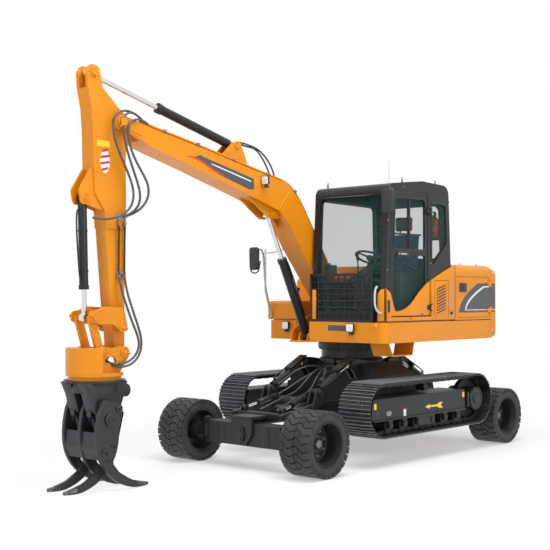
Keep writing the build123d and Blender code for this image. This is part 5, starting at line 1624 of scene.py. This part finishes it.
CLAMPS = (
    (3.12, 3.77, (0.97, 0.18)), (2.62, 3.678, (0.98, 0.2)), (2.05, 3.562, (0.98, 0.2)),
    (1.45, 3.44, (0.98, 0.2)), (0.97, 3.272, (0.76, 0.64)), (0.6, 2.8, (0.57, 0.82)),
    (0.3, 2.38, (0.6, 0.8)),
)
saddles = []
for x, z, (forward, rise) in CLAMPS:
    up = Vector((-rise, 0, forward)).normalized()
    for y in (-0.169, -0.391):
        saddles.append(clamp(Vector((x, y, z)) + up * STAND_OFF, (0, 1, 0), up))
settle("boom_clamps", "boom_body", BOLT_STEEL, *saddles)

WELDS = (
    ("weld_boom", [(1.056, 3.289), (1.15, 3.175), (1.246, 3.062)]),
    ("weld_boom_tip", [(3.697, 3.769), (3.56, 3.735), (3.449, 3.709)]),
)
for name, points in WELDS:
    beads = [
        hose([(x, y, z) for x, z in points], 0.005, 8) for y in (BOOM_Y + 0.1505, BOOM_Y - 0.1505)
    ]
    settle(name, "boom_body", YELLOW_ARM, *beads, smooth=60)

# %% [markdown]
# Nine pins hold the arm together. Each shows a raised boss round it, and its end with a keeper.
# The table gives, for each, the bodies of boss and pin, how far they reach to either side of the
# arm's middle, the pin's place and radius, and the way its keeper points.

# %% Pins with their keeper plates
def pin_rim(x, z, y, out, radius):
    """The raised boss round a pin."""
    inner = radius * 0.66
    profile = [
        (inner, 0.0), (radius, 0.0), (radius, 0.009), (radius - 0.004, 0.013), (inner, 0.013),
    ]
    return turned(profile, (x, y, z), (0, out, 0), 36)


def pin_cap(x, z, y, out, radius, turn):
    """The pin's end, with a keeper tab and its bolt."""
    end = [(radius * 0.6, 0.0), (radius * 0.6, 0.004), (radius * 0.54, 0.008)]
    tab = box((-0.011, -0.0025, radius * 0.2), (0.011, 0.0025, radius * 1.1), 0.001)
    tab.data.transform(Matrix.Translation((x, y + out * 0.008, z)) @ Matrix.Rotation(turn, 4, "Y"))
    head = Vector((math.sin(turn), 0, math.cos(turn))) * radius * 0.82
    head += Vector((x, y + out * 0.0105, z))
    return [knob(end, (x, y, z), (0, out, 0)), tab, bolt(head, (0, out, 0), 0.007, 0.006)]


PINS = (
    ("tip", "boom_body", "boom_body", 0.15, 0.178, 3.72, 3.82, 0.072, 2.4),
    ("stick_foot", "boom_body", "boom_body", 0.08, 0.09, 1.925, 3.769, 0.046, 0.5),
    ("lift_eye", "boom_body", "boom_body", 0.093, 0.103, 1.313, 2.997, 0.055, 2.0),
    ("stick_eye", "stick_body", "stick_body", 0.095, 0.105, 4.055, 4.305, 0.048, 3.6),
    ("bucket_foot", "stick_body", "stick_body", 0.079, 0.089, 4.126, 3.0, 0.046, 0.3),
    ("rocker", "rocker_body", "stick_body", 0.164, 0.174, 3.72, 1.675, 0.058, 4.2),
    ("rocker_eye", "rocker_body", "rocker_body", 0.164, 0.178, 4.09, 1.77, 0.052, 1.2),
    ("link", "coupler_body", "coupler_body", 0.166, 0.176, 3.977, 1.42, 0.05, 4.5),
    ("stick_end", "coupler_body", "coupler_body", 0.166, 0.176, 3.693, 1.408, 0.058, 4.4),
)
for name, body, pin_body, rim_reach, pin_reach, x, z, radius, turn in PINS:
    rims, ends = [], []
    for out in (-1, 1):
        rims.append(pin_rim(x, z, BOOM_Y + out * rim_reach, out, radius))
        ends += pin_cap(x, z, BOOM_Y + out * pin_reach, out, radius, turn)
    settle("boss_" + name, body, YELLOW_ARM, *rims)
    settle("pin_" + name, pin_body, YELLOW_ARM, *ends)
print(len(PINS), "pins of the arm")

# %% [markdown]
# Three hoses hang in an arc from the boom's pipes to the block on the stick. From there two pipes
# run down the stick, and two long loops go on to the coupler. Two short arcs feed the cylinder
# that moves the stick. Their points are chosen as a fitter would bend them.

# %% Hoses that cross the joints
ARM_HOSES = (
    ("hose_tip_one", "boom_body", "stick_body", 0.0125, 2, 7, [
        (3.40, -0.152, 3.86), (3.548, -0.14, 3.954), (3.76, -0.12, 3.951), (3.868, -0.11, 3.845),
        (3.859, -0.1, 3.611), (3.716, -0.09, 3.363), (3.587, -0.08, 3.11), (3.613, -0.09, 2.924),
        (3.764, -0.11, 2.812), (3.93, -0.15, 2.779), (4.053, -0.2, 2.8)]),
    ("hose_tip_two", "boom_body", "stick_body", 0.0125, 2, 7, [
        (3.38, -0.186, 3.86), (3.513, -0.15, 3.95), (3.686, -0.12, 3.935), (3.745, -0.11, 3.808),
        (3.689, -0.09, 3.497), (3.555, -0.07, 3.191), (3.51, -0.07, 3.036), (3.535, -0.1, 2.903),
        (3.638, -0.14, 2.841), (3.715, -0.165, 2.823)]),
    ("hose_tip_three", "boom_body", "stick_body", 0.0125, 1, 6, [
        (3.36, -0.14, 3.84), (3.452, -0.12, 3.877), (3.599, -0.11, 3.873), (3.69, -0.09, 3.76),
        (3.659, -0.07, 3.498), (3.469, -0.05, 3.25), (3.405, -0.05, 3.122), (3.431, -0.08, 2.962),
        (3.544, -0.13, 2.864), (3.665, -0.165, 2.826)]),
    ("loop_one", "stick_body", "coupler_body", 0.0125, 2, 6, [
        (3.729, -0.172, 2.205), (3.735, -0.125, 2.07), (3.70, -0.085, 1.90),
        (3.605, -0.082, 1.687), (3.515, -0.082, 1.527), (3.535, -0.082, 1.395),
        (3.658, -0.085, 1.296), (3.85, -0.085, 1.275), (3.90, -0.12, 1.31), (3.91, -0.16, 1.33)]),
    ("loop_two", "stick_body", "coupler_body", 0.0125, 2, 6, [
        (3.651, -0.172, 2.205), (3.67, -0.12, 2.06), (3.64, -0.078, 1.90), (3.555, -0.075, 1.70),
        (3.485, -0.075, 1.527), (3.51, -0.075, 1.37), (3.64, -0.075, 1.262), (3.83, -0.08, 1.25),
        (3.89, -0.12, 1.30), (3.90, -0.17, 1.32)]),
    ("arc_one", "boom_body", "stick_barrel", 0.011, 2, 4, [
        (1.33, -0.21, 3.44), (1.367, -0.22, 3.557), (1.528, -0.25, 3.798), (1.668, -0.27, 3.77),
        (1.875, -0.28, 3.822), (1.976, -0.28, 3.80)]),
    ("arc_two", "boom_body", "stick_barrel", 0.011, 2, 4, [
        (1.27, -0.19, 3.42), (1.291, -0.2, 3.562), (1.471, -0.23, 3.765), (1.648, -0.245, 3.795),
        (1.82, -0.25, 3.83), (1.94, -0.255, 3.80)]),
)
for name, first, second, radius, start, end, points in ARM_HOSES:
    bending_hose(name, first, points, radius, start, end)
print(len(ARM_HOSES), "hoses of the arm")

# %% [markdown]
# The block on the stick's side takes the hoses' ends, and the pipes leave it below.

# %% The stick's block, pipes and clamps
STICK_PIPE = ((-0.165, 2.73), (-0.166, 2.686), (-0.17, 2.6), (-0.172, 2.4), (-0.174, 2.213))
UNION = [(0.024, 0.0), (0.024, 0.012), (0.016, 0.014), (0.016, 0.03)]
PIPE_NUT = [(0.018, 0.0), (0.018, 0.028), (0.013, 0.032), (0.013, 0.05)]
stick_pipes = []
ends = [
    box((3.635, -0.186, 2.795), (3.75, -0.168, 2.865), 0.004),
    clamp((3.69, -0.186, 2.235), (1, 0, 0), (0, 1, 0), 0.058),
]
for x in (3.729, 3.651):
    stick_pipes.append(hose([(x, y, z) for y, z in STICK_PIPE], 0.0105, 12))
    ends += [
        knob(UNION, (x, -0.17, 2.83), (0, 1, 0), 20),
        knob(PIPE_NUT, (x, -0.165, 2.775), (0, 0, -1), 6),
        knob([(0.017, 0.0), (0.017, 0.03)], (x, -0.174, 2.215), (0, 0, -1), 6),
    ]
settle("stick_pipes", "stick_body", BLACK, *stick_pipes, smooth=50)
settle("stick_block", "stick_body", BOLT_STEEL, *ends)

# %% [markdown]
# ## Grapple
# The tines are cut from thick plate, so each has a smooth rim along its outer edge, welded on both
# faces. The jaw of two tines is the mirror image of the jaw of three.

# %% Rims of the tines
JAW_X = 3.955
OUTER = [
    (4.04, 0.925), (4.10, 0.86), (4.128, 0.77), (4.15, 0.62), (4.144, 0.47), (4.102, 0.33),
    (4.012, 0.2), (3.868, 0.086), (3.68, 0.016), (3.50, 0.014),
]
INNER = [
    (3.80, 0.80), (3.865, 0.55), (3.925, 0.34), (3.93, 0.27), (3.86, 0.19), (3.70, 0.098),
    (3.50, 0.043),
]
WORN = [(3.62, 0.0145), (3.47, 0.0125), (3.474, 0.044), (3.62, 0.069)]
JAWS = (
    ("three", "jaw_a", (-0.27, 0.0, 0.27), False), ("two", "jaw_b", (-0.135, 0.135), True),
)


def rim_outline(points, width):
    """A band that follows the outer edge and narrows towards its ends."""
    path = smooth_line(points, 5)
    last = len(path) - 1
    outer, inner = [], []
    for i, (x, z) in enumerate(path):
        ax, az = path[max(0, i - 1)]
        bx, bz = path[min(last, i + 1)]
        run = Vector((bx - ax, 0, bz - az)).normalized()
        share = min(1, 0.35 + 2.2 * min(i, last - i) / len(path))
        outer.append((x - run.z * 0.003, z + run.x * 0.003))
        inner.append((x + run.z * width * share, z - run.x * width * share))
    return outer + inner[::-1]


def mirrored(points):
    return [(2 * JAW_X - x, z) for x, z in points]


for place, body, offsets, flipped in JAWS:
    shapes = (rim_outline(OUTER, 0.032), rim_outline(INNER, -0.016), WORN)
    back, front, worn = (mirrored(shape) if flipped else shape for shape in shapes)
    rims, tips = [], []
    for y in (BOOM_Y + offset for offset in offsets):
        rims.append(plate(back, y - 0.0225, y + 0.0225, "Y", 0.003))
        rims.append(plate(front, y - 0.0205, y + 0.0205, "Y", 0.002))
        tips.append(plate(worn, y - 0.0215, y + 0.0215, "Y", 0.003))
    settle("rims_" + place, body, GRAPPLE_STEEL, *rims, smooth=35)
    settle("tips_" + place, body, TINE_TIP, *tips, smooth=35)

# %% [markdown]
# On the near and the far tine sit the pin's end, a grease cap, three half rings and a small pad.

# %% Pins, hooks and pads of the tines
PIN_END = [
    (0.066, 0.0), (0.066, 0.01), (0.061, 0.014), (0.04092, 0.014), (0.0396, 0.022),
    (0.0231, 0.022), (0.0198, 0.014),
]
GREASE_CAP = [(0.04, 0.0), (0.04, 0.012), (0.03, 0.018)]


def hook(x, z, y, out, size, turn):
    """A half ring welded to the face."""
    arc = [(size * math.cos(a), size * math.sin(a))
           for a in (turn + math.pi * i / 10 for i in range(11))]
    inner = [(u * 0.55, v * 0.55) for u, v in reversed(arc)]
    low, high = sorted((y, y + out * 0.016))
    return plate([(x + u, z + v) for u, v in arc + inner], low, high, "Y", 0.003)


marks = []
for out in (-1, 1):
    y, outward = BOOM_Y + out * 0.288, (0, out, 0)
    marks += [
        knob(PIN_END, (3.985, BOOM_Y + out * 0.296, 0.735), outward, 36),
        knob(GREASE_CAP, (3.867, y, 0.84), outward),
        bolt((3.867, y + out * 0.018, 0.84), outward, 0.014, 0.012),
        hook(4.05, 0.395, y, out, 0.045, 0.2), hook(3.945, 0.455, y, out, 0.03, 0.5),
        hook(4.0, 0.31, y, out, 0.03, 0.2),
        box((3.92, y, 0.59), (3.95, y + out * 0.006, 0.62), 0.002),
    ]
settle("jaw_fittings", "jaw_a", GRAPPLE_STEEL, *marks)

# %% [markdown]
# Broad legs hang from the turning disc and hold the jaws' pins, with lugs for the jaws' cylinder.

# %% Legs and lugs of the turning head
WEB = [(4.20, 1.112), (4.232, 1.112), (4.172, 0.985), (4.115, 0.80), (4.10, 0.80), (4.15, 0.985)]
LEG = [
    (3.70, 1.112), (4.225, 1.112), (4.165, 0.98), (4.112, 0.80), (4.075, 0.70), (3.98, 0.66),
    (3.87, 0.68), (3.80, 0.82), (3.74, 0.98),
]
LEG_PIN = [(0.05, 0.0), (0.05, 0.012), (0.045, 0.017), (0.025, 0.017), (0.0225, 0.024)]
BUSH = [(0.02, 0.0), (0.05, 0.0), (0.05, 0.06), (0.02, 0.06)]
LUG = [(3.80, 0.93), (3.80, 1.08), (3.62, 1.075)] + [
    (3.604 + 0.062 * math.cos(a), 1.0 + 0.07 * math.sin(a))
    for a in (math.radians(100 + 20 * i) for i in range(9))
] + [(3.62, 0.932)]
legs = []
for out in (-1, 1):
    low, high = sorted((BOOM_Y + out * 0.06, BOOM_Y + out * 0.214))
    y, outward = BOOM_Y + out * 0.208, (0, out, 0)
    legs += [
        plate(WEB, low, high, "Y", 0.004),
        plate(LEG, y - 0.014, y + 0.014, "Y", 0.004),
        knob(LEG_PIN, (4.035, BOOM_Y + out * 0.222, 0.775), outward, 32),
        turned(BUSH, (4.09, BOOM_Y + out * 0.105, 0.79), outward, 28),
    ]
for y in (BOOM_Y + 0.075, BOOM_Y - 0.075):
    legs.append(plate(LUG, y - 0.013, y + 0.013, "Y", 0.004))
legs.append(drum((3.604, BOOM_Y - 0.095, 1.0), (3.604, BOOM_Y + 0.095, 1.0), 0.026, 24))
disc_bolt = bolt((JAW_X + 0.304, BOOM_Y, 1.108), (0, 0, -1), 0.011, 0.012)
legs.append(ring_of(disc_bolt, 24, (JAW_X, BOOM_Y, 0), "Z"))
settle("head_legs", "grapple", GRAPPLE_STEEL, *legs)

# %% [markdown]
# The coupler shows two welded seams. Pipes run along the boom's and the bucket's cylinders.

# %% Coupler seams and pipes on the cylinders
settle(
    "coupler_seam", "coupler_body", YELLOW_ARM,
    box((4.018, -0.1155, 1.2), (4.03, -0.1125, 1.46), 0.001),
    box((3.80, -0.1155, 1.29), (3.97, -0.11, 1.302), 0.002),
)
BOOM_PIPE = ((0.665, 1.74), (0.675, 1.791), (0.75, 1.943), (0.964, 2.372), (1.004, 2.42))
settle(
    "boom_cylinder_pipe", "boom_barrel", BLACK,
    hose([(x, -0.224, z) for x, z in BOOM_PIPE], 0.009, 12),
    box((0.775, -0.236, 2.055), (0.815, -0.21, 2.095), 0.004),
    smooth=50,
)
BUCKET_PIPE = [
    (4.165, -0.26, 2.89), (4.2, -0.26, 2.885), (4.214, -0.26, 2.838), (4.206, -0.26, 2.60),
    (4.192, -0.26, 2.45), (4.172, -0.26, 2.20), (4.16, -0.26, 2.15), (4.135, -0.265, 2.14),
]
BAND = [(0.047, 0.0), (0.0515, 0.0), (0.0515, 0.02), (0.047, 0.02)]
bands = [
    turned(BAND, (4.126 - 0.036 * down, BOOM_Y, 3.0 - 1.23 * down), (0.029, 0, 1), 32)
    for down in (0.28, 0.62)
]
settle(
    "bucket_cylinder_pipe", "bucket_barrel", BLACK, hose(BUCKET_PIPE, 0.009, 12), *bands, smooth=50
)
print("grapple fitted")

# %% [markdown]
# ## Studio
# The machine stands on a pale floor that turns to plain white away from it, so only its shadow
# shows. A ray from the camera, from a mirror or through glass sees white, and any other ray finds
# soft light.

# %% Floor and world
def rays(network, *kinds):
    return [network.node("ShaderNodeLightPath", output="Is " + kind + " Ray") for kind in kinds]


clear_selection()
bpy.ops.mesh.primitive_plane_add(size=60, location=(0, 0, -0.002))
floor = bpy.context.object
floor.name = "studio_floor"
white = Finish("studio_floor", None, (0.9, 0.9, 0.9), 0.6)
spot = white.node("ShaderNodeVectorMath", {"operation": "LENGTH"}, {0: white.place()}, output=1)
lit = white.node("ShaderNodeEmission", None, {"Color": (1.0, 1.0, 1.0), "Strength": 1.0})
seen, shiny, through = rays(white, "Camera", "Glossy", "Transmission")
mask = (spot.rise(2.2, 5.0) * 0.6 + 0.4) * seen + shiny + through
painted = Wire(white, white.shader.outputs[0])
shown = white.node("ShaderNodeMixShader", None, {0: mask, 1: painted, 2: lit})
white.end_in("Material Output", shown)
floor.data.materials.append(white.material)

world = bpy.data.worlds.new("studio")
bpy.context.scene.world = world
world.use_nodes = True
sky = Network(world.node_tree)
around = sky.node("ShaderNodeTexCoord", output="Generated")
up = sky.node("ShaderNodeSeparateXYZ", None, {0: around}, output=2)
strength = sky.node("ShaderNodeMapRange", None, {
    "Value": up, "From Min": -0.1, "From Max": 0.75, "To Min": 0.12, "To Max": 0.75,
})
soft = sky.tree.nodes["Background"]
soft.inputs["Color"].default_value = (1, 1, 1, 1)
sky.tree.links.new(strength.socket, soft.inputs["Strength"])
bright = sky.node("ShaderNodeBackground", None, {"Color": (1, 1, 1), "Strength": 1.0})
seen, shiny, through = rays(sky, "Camera", "Glossy", "Transmission")
plain = seen.sum("MAXIMUM", seen.sum("MAXIMUM", seen, shiny), through)
sky.end_in("World Output", sky.node("ShaderNodeMixShader", None, {
    0: plain, 1: Wire(sky, soft.outputs[0]), 2: bright,
}))

# %% [markdown]
# A wide lamp above, and two smaller ones in front and at the side, shape the machine. The camera's
# place, turn and lens were found from the wheels, tracks, cab and boom in the photograph.

# %% Lamps and camera
LAMPS = (
    ("lamp_above", (1.5, 2.5, 9.0), 6.0, 600),
    ("lamp_front", (9.5, 1.0, 5.0), 3.5, 190),
    ("lamp_side", (1.0, 10.0, 4.5), 4.0, 200),
)
AIM = Vector((0.6, 0.0, 1.2))
for name, place, size, watts in LAMPS:
    bpy.ops.object.light_add(type="AREA", location=place)
    lamp = bpy.context.object
    lamp.name = name
    lamp.data.shape = "DISK"
    lamp.data.size = size
    lamp.data.energy = watts
    lamp.rotation_euler = (AIM - Vector(place)).to_track_quat("-Z", "Y").to_euler()

bpy.ops.object.camera_add(
    location=(10.844 - AHEAD, 8.475, 2.0),
    rotation=(math.radians(91.102), 0, math.radians(132.135)),
)
camera = bpy.context.object
camera.data.lens = 69.17
camera.data.sensor_width = 36
camera.data.clip_end = 200
bpy.context.scene.camera = camera
bpy.context.scene.view_settings.view_transform = "Standard"
